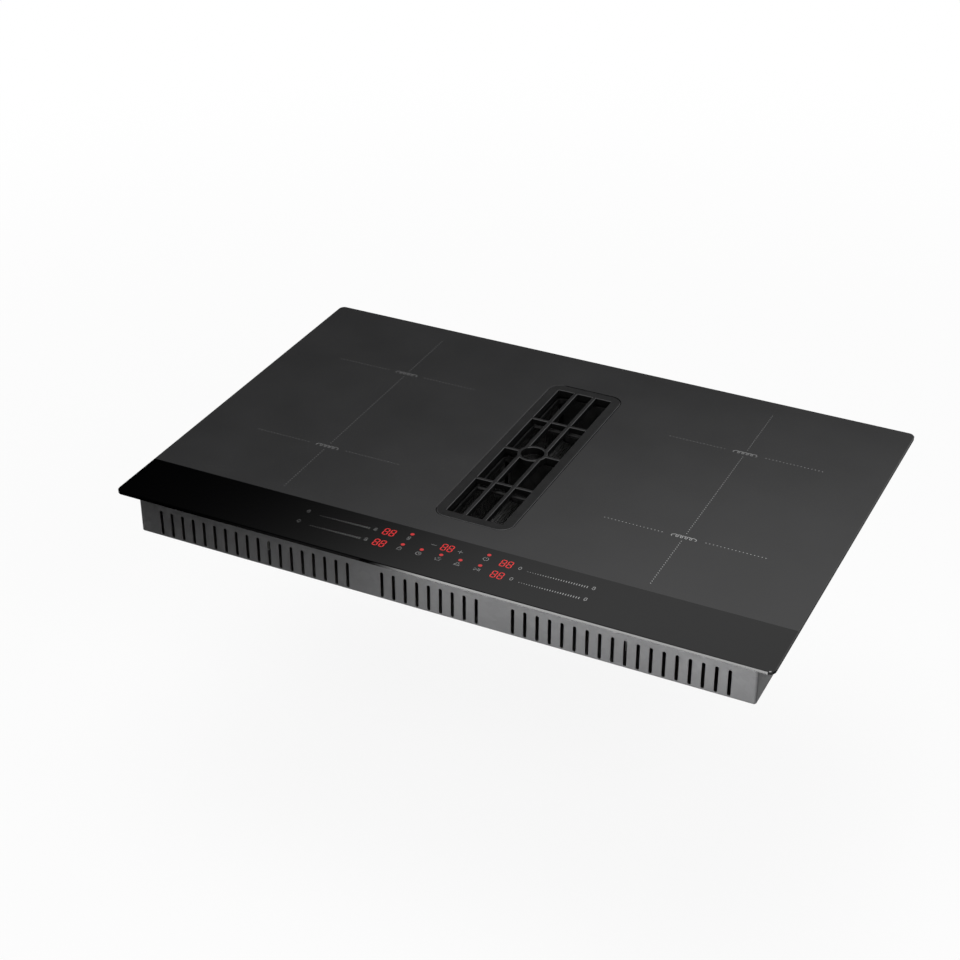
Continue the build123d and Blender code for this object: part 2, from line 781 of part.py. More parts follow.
save("glass_top", make_glass())
save("worktop_seal", make_worktop_seal())
save("glass_frame", make_glass_frame())
save("lower_housing", make_pan())
save("housing_screws", *make_pan_screws())
save("well_flange", make_well_flange())
save("intake_well", make_well())
save("filter_posts", *make_filter_posts())
save("well_seal", make_well_seal())
save("vent_grille", make_grille())
for name, side in (("rear", 1), ("front", -1)):
    frame, mesh = make_filter(side)
    save(f"filter_frame_{name}", frame)
    save(f"filter_mesh_{name}", mesh)
save("overflow_tank", make_tank())
save("tank_rails", *make_tank_rails())
scroll_upper, scroll_lower = make_scroll()
save("scroll_upper", scroll_upper)
save("scroll_lower", scroll_lower)
save("fan_screws", *make_fan_screws())
save("fan_seal", make_fan_seal())
save("bell_mouth", make_bell_mouth())
save("impeller", make_impeller())
save("motor_rotor", make_motor_rotor())
save("motor_shaft", make_motor_shaft())
save("motor_stator", make_motor_stator())
save("outlet_collar", make_outlet_collar())
for name, top in zip(("upper", "lower"), flap_tops):
    save(f"flap_{name}", make_flap(top))
for name, (x, y) in coil_places.items():
    save(f"coil_winding_{name}", make_winding(x, y))
    save(f"coil_carrier_{name}", make_carrier(x, y))
save("coil_ferrites", *make_ferrites())
save("coil_sensors", *make_sensors())
save("coil_springs", *make_springs())
save("standoffs", *make_pillars(), *make_board_feet())
for name, side in (("left", -1), ("right", 1)):
    save(f"coil_deck_{name}", make_deck(side))
    save(f"power_board_{name}", make_power_board(side))
    save(f"heat_sink_{name}", make_heat_sink(side))
    save(f"cooling_fan_frame_{name}", make_fan_frame(side))
    save(f"cooling_fan_rotor_{name}", make_fan_rotor(side))
save("mica_sheets", *make_mica())
save("control_tray", make_control_tray())
save("control_board", make_control_board())
save("digit_modules", *make_displays())
save("indicator_lamps", *make_lamps())
save("touch_springs", *make_touch_springs())
save("terminal_box", make_terminal_box())
save("terminal_cover", make_terminal_cover())
save("terminal_block", make_terminal_block())
save("cable_gland", make_gland())
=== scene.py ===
import bpy
import bmesh
import json
from math import copysign, cos, hypot, pi, radians, sin
from mathutils import Matrix, Vector


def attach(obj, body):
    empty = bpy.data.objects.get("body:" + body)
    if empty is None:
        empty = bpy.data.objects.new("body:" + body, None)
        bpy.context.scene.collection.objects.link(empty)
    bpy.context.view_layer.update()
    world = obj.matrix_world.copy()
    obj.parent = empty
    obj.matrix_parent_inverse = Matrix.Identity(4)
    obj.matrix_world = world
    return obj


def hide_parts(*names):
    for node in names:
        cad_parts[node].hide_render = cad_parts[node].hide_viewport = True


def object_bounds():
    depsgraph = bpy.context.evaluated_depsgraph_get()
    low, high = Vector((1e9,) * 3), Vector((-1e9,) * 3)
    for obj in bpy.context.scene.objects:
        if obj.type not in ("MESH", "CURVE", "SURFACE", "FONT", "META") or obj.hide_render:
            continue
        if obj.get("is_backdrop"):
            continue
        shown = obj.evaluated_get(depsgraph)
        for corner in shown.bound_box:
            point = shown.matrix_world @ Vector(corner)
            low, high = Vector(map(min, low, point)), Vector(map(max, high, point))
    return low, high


# Downdraft induction hob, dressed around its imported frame. Sizes are in millimetres unless a note says
# metres; a colour is linear, and a single number stands for a grey.
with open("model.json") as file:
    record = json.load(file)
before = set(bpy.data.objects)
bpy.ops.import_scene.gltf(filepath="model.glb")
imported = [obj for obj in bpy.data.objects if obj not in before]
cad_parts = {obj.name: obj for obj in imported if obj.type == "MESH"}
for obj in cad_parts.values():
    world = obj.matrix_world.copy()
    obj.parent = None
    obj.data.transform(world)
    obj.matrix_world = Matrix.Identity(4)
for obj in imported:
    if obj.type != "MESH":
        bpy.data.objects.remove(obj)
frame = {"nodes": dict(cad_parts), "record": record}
cadLow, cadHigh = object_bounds()
nodes = frame["nodes"]
scene = bpy.context.scene
mm = 0.001
glassTop = cadHigh.z / mm
print("stage: frame loaded,", len(nodes), "nodes")


# a socket given as a value is linked, anything else is set
def feed(tree, node, inputs):
    for key, value in inputs.items():
        if isinstance(value, bpy.types.NodeSocket):
            tree.links.new(value, node.inputs[key])
        else:
            node.inputs[key].default_value = value


def addNode(tree, kind, inputs=None, **settings):
    node = tree.nodes.new(kind)
    for key, value in settings.items():
        setattr(node, key, value)
    feed(tree, node, inputs or {})
    return node.outputs


def shade(tree, kind, inputs=None, **settings):
    return addNode(tree, "ShaderNode" + kind, inputs, **settings)


def geo(tree, kind, inputs=None, **settings):
    return addNode(tree, "GeometryNode" + kind, inputs, **settings)[0]


# with more than two values the operation is repeated from left to right
def calc(tree, operation, first, *others):
    for other in others or (0.0,):
        first = shade(tree, "Math", {0: first, 1: other}, operation=operation)[0]
    return first


def ramp(tree, value, fromLow, fromHigh, toLow, toHigh, kind="LINEAR"):
    inputs = {"Value": value, "From Min": fromLow, "From Max": fromHigh, "To Min": toLow, "To Max": toHigh}
    return shade(tree, "MapRange", inputs, interpolation_type=kind)[0]


def combine(tree, x=0.0, y=0.0, z=0.0):
    return shade(tree, "CombineXYZ", {0: x, 1: y, 2: z})[0]


def splitAxes(tree, vector):
    return shade(tree, "SeparateXYZ", {0: vector})


def objectPlace(tree):
    return shade(tree, "TexCoord")["Object"]


def addObject(name, data):
    made = bpy.data.objects.new(name, data)
    scene.collection.objects.link(made)
    return made


def asColor(value):
    if isinstance(value, bpy.types.NodeSocket):
        return value
    return (*value, 1.0) if isinstance(value, tuple) else (value, value, value, 1.0)


def mixColors(tree, factor, first, second):
    return shade(tree, "Mix", {0: factor, 6: asColor(first), 7: asColor(second)}, data_type="RGBA")[2]


# nearly all of the noise lies between 0.3 and 0.7, which becomes low and high
def spreadNoise(tree, place, scale, low, high, detail=3.0):
    noise = shade(tree, "TexNoise", {"Vector": place, "Scale": scale, "Detail": detail})["Fac"]
    return ramp(tree, noise, 0.3, 0.7, low, high)


# grain is fine noise, pebble is moulded or cast texture, brush is drawn metal, flake is zinc or mica
def textureHeight(tree, place, kind, scale, stretch=(1, 1, 1)):
    spread = shade(tree, "Mapping", {"Vector": place, "Scale": stretch})[0]
    if kind in ("grain", "brush"):
        return shade(tree, "TexNoise", {"Vector": spread, "Scale": scale, "Detail": 4.0})["Fac"]
    cells = shade(tree, "TexVoronoi", {"Vector": spread, "Scale": scale})
    if kind == "flake":
        return shade(tree, "SeparateColor", {"Color": cells["Color"]})[0]
    return cells["Distance"]


def addBump(tree, shader, height, strength, distance):
    bump = shade(tree, "Bump", {"Height": height, "Strength": strength, "Distance": distance})[0]
    feed(tree, shader, {"Normal": bump})


roughFineness = 2.3  # unless a look says otherwise, the roughness varies in smaller spots than the colour


# metal, roughness and relief are alike on every finish whose look gives them
def startFinish(name, look):
    made = bpy.data.materials.new(name)
    made.use_nodes = True
    tree = made.node_tree
    shader = tree.nodes["Principled BSDF"]
    place = objectPlace(tree)
    feed(tree, shader, {"Metallic": look.get("metal", 0.0)})
    if "rough" in look:
        spots = look.get("roughSpots") or look["spots"] * roughFineness
        feed(tree, shader, {"Roughness": spreadNoise(tree, place, spots, *look["rough"])})
    if "relief" in look:
        kind, scale, strength, depth = look["relief"]
        height = textureHeight(tree, place, kind, scale, look.get("stretch", (1, 1, 1)))
        addBump(tree, shader, height, strength, depth)
    return made, tree, shader, place


# relief is the kind of texture, its scale, its strength and its depth in metres
plainFinishes = {
    "seal_foam": dict(dark=0.012, light=0.035, spots=900, rough=(0.85, 0.95),
        relief=("pebble", 1600, 0.8, 0.0004)),
    "frame_aluminium": dict(dark=(0.5, 0.5, 0.51), light=(0.66, 0.66, 0.67), spots=60, rough=(0.3, 0.42),
        metal=1.0, relief=("brush", 500, 0.2, 0.0001), stretch=(0.04, 0.04, 1)),
    "fastener_steel": dict(dark=(0.36, 0.36, 0.35), light=(0.55, 0.55, 0.54), spots=300, rough=(0.25, 0.4),
        metal=1.0, relief=("grain", 2500, 0.15, 0.0001)),
    "well_plastic": dict(dark=0.004, light=0.008, spots=80, rough=(0.5, 0.65),
        relief=("pebble", 1300, 0.25, 0.0001)),
    "filter_steel": dict(dark=0.035, light=0.07, spots=70, rough=(0.42, 0.55),
        metal=1.0, relief=("brush", 1200, 0.25, 0.0001), stretch=(1, 0.03, 1)),
    "filter_mesh": dict(dark=0.17, light=0.27, spots=120, rough=(0.3, 0.42),
        metal=1.0, relief=("brush", 1400, 0.2, 0.0001), stretch=(1, 0.05, 1)),
    "tank_plastic": dict(dark=(0.075, 0.075, 0.08), light=(0.12, 0.12, 0.125), spots=50, rough=(0.3, 0.42),
        relief=("pebble", 1100, 0.15, 0.0001)),
    "fan_plastic": dict(dark=(0.045, 0.045, 0.048), light=(0.07, 0.07, 0.074), spots=40, rough=(0.42, 0.58),
        relief=("pebble", 1000, 0.35, 0.00015)),
    "wheel_plastic": dict(dark=(0.26, 0.27, 0.28), light=(0.36, 0.37, 0.38), spots=60, rough=(0.4, 0.55),
        relief=("grain", 1500, 0.2, 0.0001)),
    "motor_steel": dict(dark=0.3, light=0.44, spots=120, rough=(0.3, 0.45),
        metal=1.0, relief=("brush", 900, 0.2, 0.0001), stretch=(1, 1, 0.05)),
    "shaft_steel": dict(dark=0.52, light=0.64, spots=200, rough=(0.12, 0.22),
        metal=1.0, relief=("brush", 2400, 0.1, 0.00005), stretch=(0.05, 0.05, 1)),
    "carrier_plastic": dict(dark=(0.46, 0.45, 0.42), light=(0.58, 0.57, 0.53), spots=50, rough=(0.5, 0.65),
        relief=("pebble", 1200, 0.2, 0.0001)),
    "ferrite": dict(dark=(0.03, 0.03, 0.032), light=0.08, spots=700, rough=(0.5, 0.75),
        metal=0.3, relief=("grain", 1800, 0.4, 0.0002)),
    "sensor_ceramic": dict(dark=(0.62, 0.6, 0.55), light=(0.74, 0.72, 0.66), spots=150, rough=(0.3, 0.45),
        relief=("grain", 1600, 0.1, 0.0001)),
    "spring_steel": dict(dark=0.5, light=0.66, spots=400, rough=(0.16, 0.28),
        metal=1.0, relief=("grain", 3000, 0.1, 0.00005)),
    "mica": dict(dark=(0.3, 0.24, 0.15), light=(0.56, 0.48, 0.34), spots=260, rough=(0.35, 0.6),
        relief=("flake", 240, 0.3, 0.0001)),
    "deck_aluminium": dict(dark=(0.52, 0.52, 0.53), light=(0.68, 0.68, 0.69), spots=30, rough=(0.28, 0.4),
        metal=1.0, relief=("brush", 700, 0.2, 0.0001), stretch=(0.03, 1, 1)),
    "sink_aluminium": dict(dark=(0.46, 0.46, 0.47), light=(0.6, 0.6, 0.61), spots=90, rough=(0.35, 0.5),
        metal=1.0, relief=("brush", 1300, 0.35, 0.0001), stretch=(1, 0.02, 1)),
    "cooler_plastic": dict(dark=0.02, light=0.04, spots=90, rough=(0.4, 0.55),
        relief=("pebble", 1500, 0.2, 0.0001)),
    "tray_plastic": dict(dark=(0.5, 0.5, 0.48), light=(0.62, 0.62, 0.6), spots=50, rough=(0.45, 0.6),
        relief=("pebble", 1300, 0.15, 0.0001)),
    "box_plastic": dict(dark=0.04, light=0.065, spots=60, rough=(0.45, 0.6),
        relief=("pebble", 1100, 0.35, 0.00015)),
    "block_plastic": dict(dark=(0.62, 0.62, 0.59), light=(0.76, 0.76, 0.73), spots=90, rough=(0.35, 0.5),
        relief=("grain", 900, 0.1, 0.0001)),
    "gland_plastic": dict(dark=0.07, light=0.12, spots=120, rough=(0.4, 0.55),
        relief=("pebble", 1400, 0.2, 0.0001)),
}
# ink mirrors most of the room; the share that doesn't is lit from above like paint
inkLooks = {
    "bandInk": dict(dark=0.7, light=0.82, spots=2000, rough=(0.08, 0.13), roughSpots=1500, metal=0.955),
    "zoneInk": dict(dark=0.7, light=0.82, spots=2000, rough=(0.08, 0.13), roughSpots=1500, metal=0.8),
}


def makePlainFinish(name, look):
    made, tree, shader, place = startFinish(name, look)
    cloud = spreadNoise(tree, place, look["spots"], 0.0, 1.0)
    feed(tree, shader, {"Base Color": mixColors(tree, cloud, look["dark"], look["light"])})
    return made


glassLook = {"bandEdge": -182.0, "topLayer": 0.05, "satin": (0.0295, 0.0295, 0.03),
             "gloss": (0.0006, 0.0006, 0.0007), "spots": 14, "cloud": (0.94, 1.06), "satinRough": 0.15,
             "glossRough": 0.04, "ior": 1.5, "grainScale": 2600, "grainStrength": 0.25, "grainDepth": 0.00002}


# satin over the zones, glossy on the control band and on the ground edge
def makeGlassFinish():
    made, tree, shader, place = startFinish("ceramicGlass", glassLook)
    axes = splitAxes(tree, place)
    behindBand = calc(tree, "GREATER_THAN", axes["Y"], glassLook["bandEdge"] * mm)
    onTop = calc(tree, "GREATER_THAN", axes["Z"], (glassTop - glassLook["topLayer"]) * mm)
    satin = calc(tree, "MULTIPLY", behindBand, onTop)
    cloud = spreadNoise(tree, place, glassLook["spots"], *glassLook["cloud"], detail=2.0)
    color = mixColors(tree, satin, glassLook["gloss"], glassLook["satin"])
    rougher = calc(tree, "MULTIPLY", satin, glassLook["satinRough"] - glassLook["glossRough"], cloud)
    clouded = shade(tree, "VectorMath", {0: color, "Scale": cloud}, operation="SCALE")[0]
    feed(tree, shader, {"Base Color": clouded,
                        "Roughness": calc(tree, "ADD", rougher, glassLook["glossRough"]),
                        "IOR": glassLook["ior"]})
    grain = calc(tree, "MULTIPLY", textureHeight(tree, place, "grain", glassLook["grainScale"]), satin)
    addBump(tree, shader, grain, glassLook["grainStrength"], glassLook["grainDepth"])
    return made


# the lighter tone on the bevels is a painted highlight, the nearly black tone on the walls of the openings is
# a painted shade; each starts at the depth below the top that is given with it
grilleLook = {"dark": (0.006, 0.006, 0.0062), "light": (0.011, 0.011, 0.0112), "spots": 45,
              "paintedGlint": (0.075, 0.075, 0.077), "paintedGlintBelow": 0.03, "paintedShade": 0.0012, "paintedShadeBelow": 0.52,
              "rough": (0.4, 0.5), "roughSpots": 300, "shine": 0.3, "relief": ("pebble", 1700, 0.35, 0.00012)}


# matt powder coat on a casting: a painted highlight makes the bevelled edges lighter, and a painted shade
# makes the walls of the openings nearly black
def makeGrilleFinish():
    made, tree, shader, place = startFinish("grilleCoating", grilleLook)
    cloud = spreadNoise(tree, place, grilleLook["spots"], 0.0, 1.0)
    coat = mixColors(tree, cloud, grilleLook["dark"], grilleLook["light"])
    level = splitAxes(tree, place)["Z"]
    # the band just under the top, on the bevels, is painted highlight; everything deeper, on the walls of the
    # openings, is painted shade
    for tone in ("paintedGlint", "paintedShade"):
        reached = calc(tree, "LESS_THAN", level, (glassTop - grilleLook[tone + "Below"]) * mm)
        coat = mixColors(tree, reached, coat, grilleLook[tone])
    feed(tree, shader, {"Base Color": coat, "Specular IOR Level": grilleLook["shine"]})
    return made


sheetLook = {"dark": (0.26, 0.26, 0.265), "light": (0.33, 0.33, 0.335), "metal": 0.9, "rough": (0.34, 0.44),
             "roughSpots": 130, "spangle": 130, "spangleShare": 0.3, "spots": 9, "spotShare": 0.7,
             "relief": ("brush", 900, 0.12, 0.00008), "stretch": (0.03, 1, 1)}


# coated sheet steel: faint zinc spangle, fine rolling marks along x
def makeSheetFinish():
    made, tree, shader, place = startFinish("housingSheet", sheetLook)
    spangle = textureHeight(tree, place, "flake", sheetLook["spangle"])
    cloud = spreadNoise(tree, place, sheetLook["spots"], 0.0, sheetLook["spotShare"], detail=2.0)
    factor = calc(tree, "ADD", calc(tree, "MULTIPLY", spangle, sheetLook["spangleShare"]), cloud)
    feed(tree, shader, {"Base Color": mixColors(tree, factor, sheetLook["dark"], sheetLook["light"])})
    return made


boardLook = {"resist": (0.012, 0.09, 0.03), "copper": (0.03, 0.17, 0.06), "case": 0.02,
             "tape": (0.55, 0.4, 0.05), "tapeAbove": 0.72, "partScale": 26.0, "trackScale": 160,
             "trackWidth": 0.035, "rough": (0.28, 0.42), "roughSpots": 140, "boardTop": 150.75,
             "trackStrength": 0.2, "trackDepth": 0.00005}


# solder resist with tracks below, and dark cases and yellow tape on what stands on the board
def makeBoardFinish():
    made, tree, shader, place = startFinish("boardLaminate", boardLook)
    tracks = shade(tree, "TexBrick", {"Vector": place, "Scale": boardLook["trackScale"],
                                      "Mortar Size": boardLook["trackWidth"]})["Fac"]
    laminate = mixColors(tree, tracks, boardLook["resist"], boardLook["copper"])
    kinds = shade(tree, "TexVoronoi", {"Vector": place, "Scale": boardLook["partScale"]})
    pick = shade(tree, "SeparateColor", {"Color": kinds["Color"]})[1]
    yellow = calc(tree, "GREATER_THAN", pick, boardLook["tapeAbove"])
    cases = mixColors(tree, yellow, boardLook["case"], boardLook["tape"])
    high = calc(tree, "GREATER_THAN", splitAxes(tree, place)["Z"], boardLook["boardTop"] * mm)
    feed(tree, shader, {"Base Color": mixColors(tree, high, laminate, cases)})
    addBump(tree, shader, tracks, boardLook["trackStrength"], boardLook["trackDepth"])
    return made


copperLook = {"bright": (0.68, 0.3, 0.13), "grooveShadeAndDarkGrain": (0.34, 0.12, 0.045), "metal": 0.85, "rough": (0.22, 0.36),
              "roughSpots": 500, "strandPitch": 9.0, "strands": 8.0, "drawnScale": 1400,
              "drawnStretch": (1, 1, 0.1), "strength": 0.6, "depth": 0.0003}


# enamelled copper; strands follow the two numbers that the wire's tree stores along and around it, and in the
# grooves between strands the colour is painted darker, a painted shade
def makeCopperFinish(name, stranded):
    made, tree, shader, place = startFinish(name, copperLook)
    if stranded:
        along, around = (shade(tree, "Attribute", attribute_name=key)["Fac"] for key in ("along", "around"))
        twist = calc(tree, "ADD", calc(tree, "MULTIPLY", around, copperLook["strands"]),
                     calc(tree, "DIVIDE", along, copperLook["strandPitch"] * mm))
        height = calc(tree, "MULTIPLY", calc(tree, "PINGPONG", twist, 0.5), 2.0)
    else:
        height = textureHeight(tree, place, "brush", copperLook["drawnScale"], copperLook["drawnStretch"])
    # on stranded wire the darker tone in the grooves is painted shade; on drawn wire the two tones follow the
    # grain
    feed(tree, shader, {"Base Color": mixColors(tree, height, copperLook["grooveShadeAndDarkGrain"], copperLook["bright"])})
    addBump(tree, shader, height, copperLook["strength"], copperLook["depth"])
    return made


glowSpread = {"spots": 700, "dimmest": 0.82, "roughness": 0.08}
glowLooks = {
    "digitModule": dict(light=(0.5, 0.02, 0.02), power=0.1, edge=(0.2, 0.02, 0.02), middle=(0.45, 0.02, 0.02)),
    "lampModule": dict(light=(0.7, 0.03, 0.02), power=0.1, edge=(0.3, 0.02, 0.02), middle=(0.6, 0.03, 0.02)),
    "digitGlow": dict(light=(0.62, 0.026, 0.026), power=0.9, edge=(0.15, 0.008, 0.008),
        middle=(0.3, 0.012, 0.012)),
    "lampGlow": dict(light=(0.7, 0.04, 0.045), power=0.56, edge=(0.12, 0.008, 0.008),
        middle=(0.2, 0.012, 0.012)),
}


# red light behind dark glass, a little uneven
def makeGlowFinish(name, look):
    made, tree, shader, place = startFinish(name, look)
    cloud = spreadNoise(tree, place, glowSpread["spots"], glowSpread["dimmest"], 1.0)
    lit = shade(tree, "VectorMath", {0: look["light"], "Scale": cloud}, operation="SCALE")[0]
    feed(tree, shader, {"Emission Color": lit, "Emission Strength": look["power"],
                        "Base Color": mixColors(tree, cloud, look["edge"], look["middle"]),
                        "Roughness": glowSpread["roughness"]})
    return made


inks = {name: makePlainFinish(name, look) for name, look in inkLooks.items()}
glows = {name: makeGlowFinish(name, look) for name, look in glowLooks.items()}
copperStrands = makeCopperFinish("copperStrands", True)
finishes = {slot: makePlainFinish(slot.title().replace("_", ""), look) for slot, look in plainFinishes.items()}
finishes |= {"ceramic_glass": makeGlassFinish(), "grille_coating": makeGrilleFinish(),
             "housing_sheet": makeSheetFinish(), "board_laminate": makeBoardFinish(),
             "winding_copper": makeCopperFinish("windingCopper", False),
             "digit_red": glows["digitModule"], "lamp_red": glows["lampModule"]}
for part in frame["record"]["subparts"]:
    nodes[part["node"]].data.materials.clear()
    nodes[part["node"]].data.materials.append(finishes[part["material_slot"]])
print("stage: finishes made,", len(bpy.data.materials))


# lengths are inputs that growPiece gives in metres; others are named with their kind
def startTree(name, lengths, **others):
    tree = bpy.data.node_groups.new(name, "GeometryNodeTree")
    inputs = {"Geometry": "Geometry", **dict.fromkeys(lengths, "Float"), **others, "Material": "Material"}
    for label, kind in inputs.items():
        socket = tree.interface.new_socket(label, in_out="INPUT", socket_type="NodeSocket" + kind)
        if label in lengths:
            socket.subtype = "DISTANCE"
    tree.interface.new_socket("Geometry", in_out="OUTPUT", socket_type="NodeSocketGeometry")
    return tree, addNode(tree, "NodeGroupInput")


# the shape stands on every point of the base mesh, turned about z by what the point carries, in radians
def endTree(tree, given, shape, smooth=False):
    turn = geo(tree, "InputNamedAttribute", {"Name": "turn"}, data_type="FLOAT")
    made = geo(tree, "InstanceOnPoints", {"Points": given["Geometry"], "Instance": shape,
                                          "Rotation": combine(tree, z=turn)})
    made = geo(tree, "RealizeInstances", {"Geometry": made})
    if smooth:
        made = geo(tree, "SetShadeSmooth", {"Geometry": made})
    made = geo(tree, "SetMaterial", {"Geometry": made, "Material": given["Material"]})
    addNode(tree, "NodeGroupOutput", {"Geometry": made})
    return tree


def finalMesh(made):
    return bpy.data.meshes.new_from_object(made.evaluated_get(bpy.context.evaluated_depsgraph_get()))


# points are (x, y, z) or (x, y, z, turn in degrees); the tree takes the values that bear its inputs' names
def growPiece(name, tree, points, values, material):
    start = bpy.data.meshes.new(name)
    start.from_pydata([Vector(point[:3]) * mm for point in points], [], [])
    turns = start.attributes.new("turn", "FLOAT", "POINT")
    for i, point in enumerate(points):
        turns.data[i].value = radians(point[3]) if len(point) > 3 else 0.0
    piece = addObject(name, start)
    modifier = piece.modifiers.new(name, "NODES")
    modifier.node_group = tree
    given = dict(values, Material=material)
    for item in tree.interface.items_tree:
        if item.in_out == "INPUT" and item.name in given:
            value = given[item.name]
            isLength = getattr(item, "subtype", "") == "DISTANCE"
            modifier[item.identifier] = value * mm if isLength else value
    mesh = finalMesh(piece)
    piece.modifiers.clear()
    piece.data = mesh
    return piece


def meshPiece(name, verts, faces, material, smooth=False):
    mesh = bpy.data.meshes.new(name)
    mesh.from_pydata(verts, [], faces)
    mesh.materials.append(material)
    mesh.polygons.foreach_set("use_smooth", [smooth] * len(faces))
    mesh.update()
    return addObject(name, mesh)


def ridesOn(piece, body, slot, *replaced):
    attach(piece, body)
    if replaced:
        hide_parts(*replaced)
    return piece


zonePrint = {"across": 223, "rearY": 129, "frontY": -70, "pitch": 4.25, "dotRadius": 0.62, "thickness": 0.06}
zoneLines = {"zoneDotsAcross": dict(halfLength=94, gap=24, turn=0),
             "zoneDotsAlong": dict(halfLength=98, gap=7, turn=90)}


# a line of dots to both sides of its middle, where the gap is
def dotLineTree():
    tree, given = startTree("dotLine", ("halfLength", "pitch", "gap", "dotRadius", "thickness"))
    steps = calc(tree, "FLOOR", calc(tree, "DIVIDE", given["halfLength"], given["pitch"]))
    count = calc(tree, "ADD", calc(tree, "MULTIPLY", steps, 2.0), 1.0)
    first = calc(tree, "MULTIPLY", steps, given["pitch"], -1.0)
    line = geo(tree, "MeshLine", {"Count": count, "Start Location": combine(tree, first),
                                  "Offset": combine(tree, given["pitch"])})
    along = splitAxes(tree, geo(tree, "InputPosition"))[0]
    near = calc(tree, "LESS_THAN", calc(tree, "ABSOLUTE", along), given["gap"])
    gapped = geo(tree, "DeleteGeometry", {"Geometry": line, "Selection": near})
    dot = geo(tree, "MeshCylinder", {"Vertices": 8, "Radius": given["dotRadius"], "Depth": given["thickness"]})
    return endTree(tree, given, geo(tree, "InstanceOnPoints", {"Points": gapped, "Instance": dot}))


zonePlaces = [(side * zonePrint["across"], zonePrint[row + "Y"])
              for side in (-1, 1) for row in ("rear", "front")]
lineTree = dotLineTree()
for name, line in zoneLines.items():
    spots = [(x, y, glassTop, line["turn"]) for x, y in zonePlaces]
    ridesOn(growPiece(name, lineTree, spots, zonePrint | line, inks["zoneInk"]), "hob", "ceramic_glass")

sliderPrint = {"tickWidth": 0.75, "firstLength": 0.8, "lastLength": 3.6, "thickness": 0.06,
               "rows": (-205.4, -227.6)}
sliderSides = {"rightSliderTicks": dict(start=98.3, count=24, pitch=2.95),
               "leftSliderTicks": dict(start=-154.2, count=22, pitch=2.88)}


# ticks in a row, each longer than the one before, with their lower ends in line
def tickTree():
    tree, given = startTree("growingTicks", ("pitch", "tickWidth", "firstLength", "lastLength", "thickness"),
                            count="Int")
    line = geo(tree, "MeshLine", {"Count": given["count"], "Offset": combine(tree, given["pitch"])})
    last = calc(tree, "SUBTRACT", given["count"], 1.0)
    length = ramp(tree, geo(tree, "InputIndex"), 0.0, last, given["firstLength"], given["lastLength"])
    lift = combine(tree, y=calc(tree, "MULTIPLY", length, 0.5))
    raised = geo(tree, "SetPosition", {"Geometry": line, "Offset": lift})
    tick = geo(tree, "MeshCube", {"Size": combine(tree, given["tickWidth"], 1.0, given["thickness"])})
    return endTree(tree, given, geo(tree, "InstanceOnPoints", {"Points": raised, "Instance": tick,
                                                               "Scale": combine(tree, 1.0, length, 1.0)}))


scaleTree = tickTree()
for name, side in sliderSides.items():
    spots = [(side["start"], y, glassTop) for y in sliderPrint["rows"]]
    ridesOn(growPiece(name, scaleTree, spots, sliderPrint | side, inks["bandInk"]), "hob", "ceramic_glass")


# points of an ellipse or of a part of one; the whole one doesn't repeat its first point
def arc(cx, cy, rx, ry, first=0.0, last=360.0, steps=20):
    isPart = abs(last - first) < 360
    turns = [radians(first + (last - first) * i / steps) for i in range(steps + isPart)]
    return [(cx + rx * cos(turn), cy + ry * sin(turn)) for turn in turns]


# strokes are pairs: a list of (x, y) points, and whether it is closed to a ring
def flatCurve(name, strokes):
    curve = bpy.data.curves.new(name, "CURVE")
    curve.dimensions = "3D"
    for points, closed in strokes:
        spline = curve.splines.new("POLY")
        spline.points.add(len(points) - 1)
        for knot, (x, y) in zip(spline.points, points):
            knot.co = (x * mm, y * mm, 0, 1)
        spline.use_cyclic_u = closed
    return addObject(name, curve)


# each stroke is a flat ribbon with square sides, half of it above the glass
def strokePiece(name, strokes, look, material):
    w, t = look["line"] / 2, look["thickness"] / 2
    section = flatCurve(name + "Section", [([(-w, -t), (w, -t), (w, t), (-w, t)], True)])
    holder = flatCurve(name + "Strokes", strokes)
    holder.data.bevel_mode = "OBJECT"
    holder.data.bevel_object = section
    holder.data.use_fill_caps = True
    holder.data.twist_mode = "Z_UP"
    mesh = finalMesh(holder)
    bpy.data.objects.remove(holder)
    bpy.data.objects.remove(section)
    mesh.transform(Matrix.Translation((0, 0, glassTop * mm)))
    mesh.shade_flat()
    mesh.materials.clear()
    mesh.materials.append(material)
    return addObject(name, mesh)


zoneSign = {"line": 0.75, "thickness": 0.06, "width": 31, "height": 4.6, "loops": 5, "loopSteps": 14,
            "slant": 0.55}


# a row of wire loops, the sign for a coil
def coilLoops(cx, cy):
    loops, height = zoneSign["loops"], zoneSign["height"]
    steps = loops * zoneSign["loopSteps"]
    points = []
    for i in range(steps + 1):
        angle = 2 * pi * loops * i / steps
        x = cx + (zoneSign["width"] - height) * (i / steps - 0.5) - height * zoneSign["slant"] * sin(angle)
        points.append((x, cy - height / 2 * cos(angle)))
    return points


zoneStrokes = [(coilLoops(x, y), False) for x, y in zonePlaces]
ridesOn(strokePiece("zoneSymbols", zoneStrokes, zoneSign, inks["zoneInk"]), "hob", "ceramic_glass")


def zeroSign(x, y):
    return [(arc(x, y, 1.5, 2.5), True)]


def eightSign(x, y):
    return [(arc(x, y + 1.3, 1.25, 1.25), True), (arc(x, y - 1.3, 1.55, 1.4), True)]


def bridgeSign(x, y):
    return [(arc(x, y + side * 1.7, 1.5, 1.4), True) for side in (1, -1)]


def powerSign(x, y):
    return [(arc(x, y, 3, 3, 120, 420), False), ([(x, y + 0.6), (x, y + 3.6)], False)]


def lockSign(x, y):
    body = [(x - 2.2, y - 2.8), (x + 2.2, y - 2.8), (x + 2.2, y + 0.6), (x - 2.2, y + 0.6)]
    return [(body, True), (arc(x, y + 0.8, 1.5, 2.2, 0, 180, 10), False)]


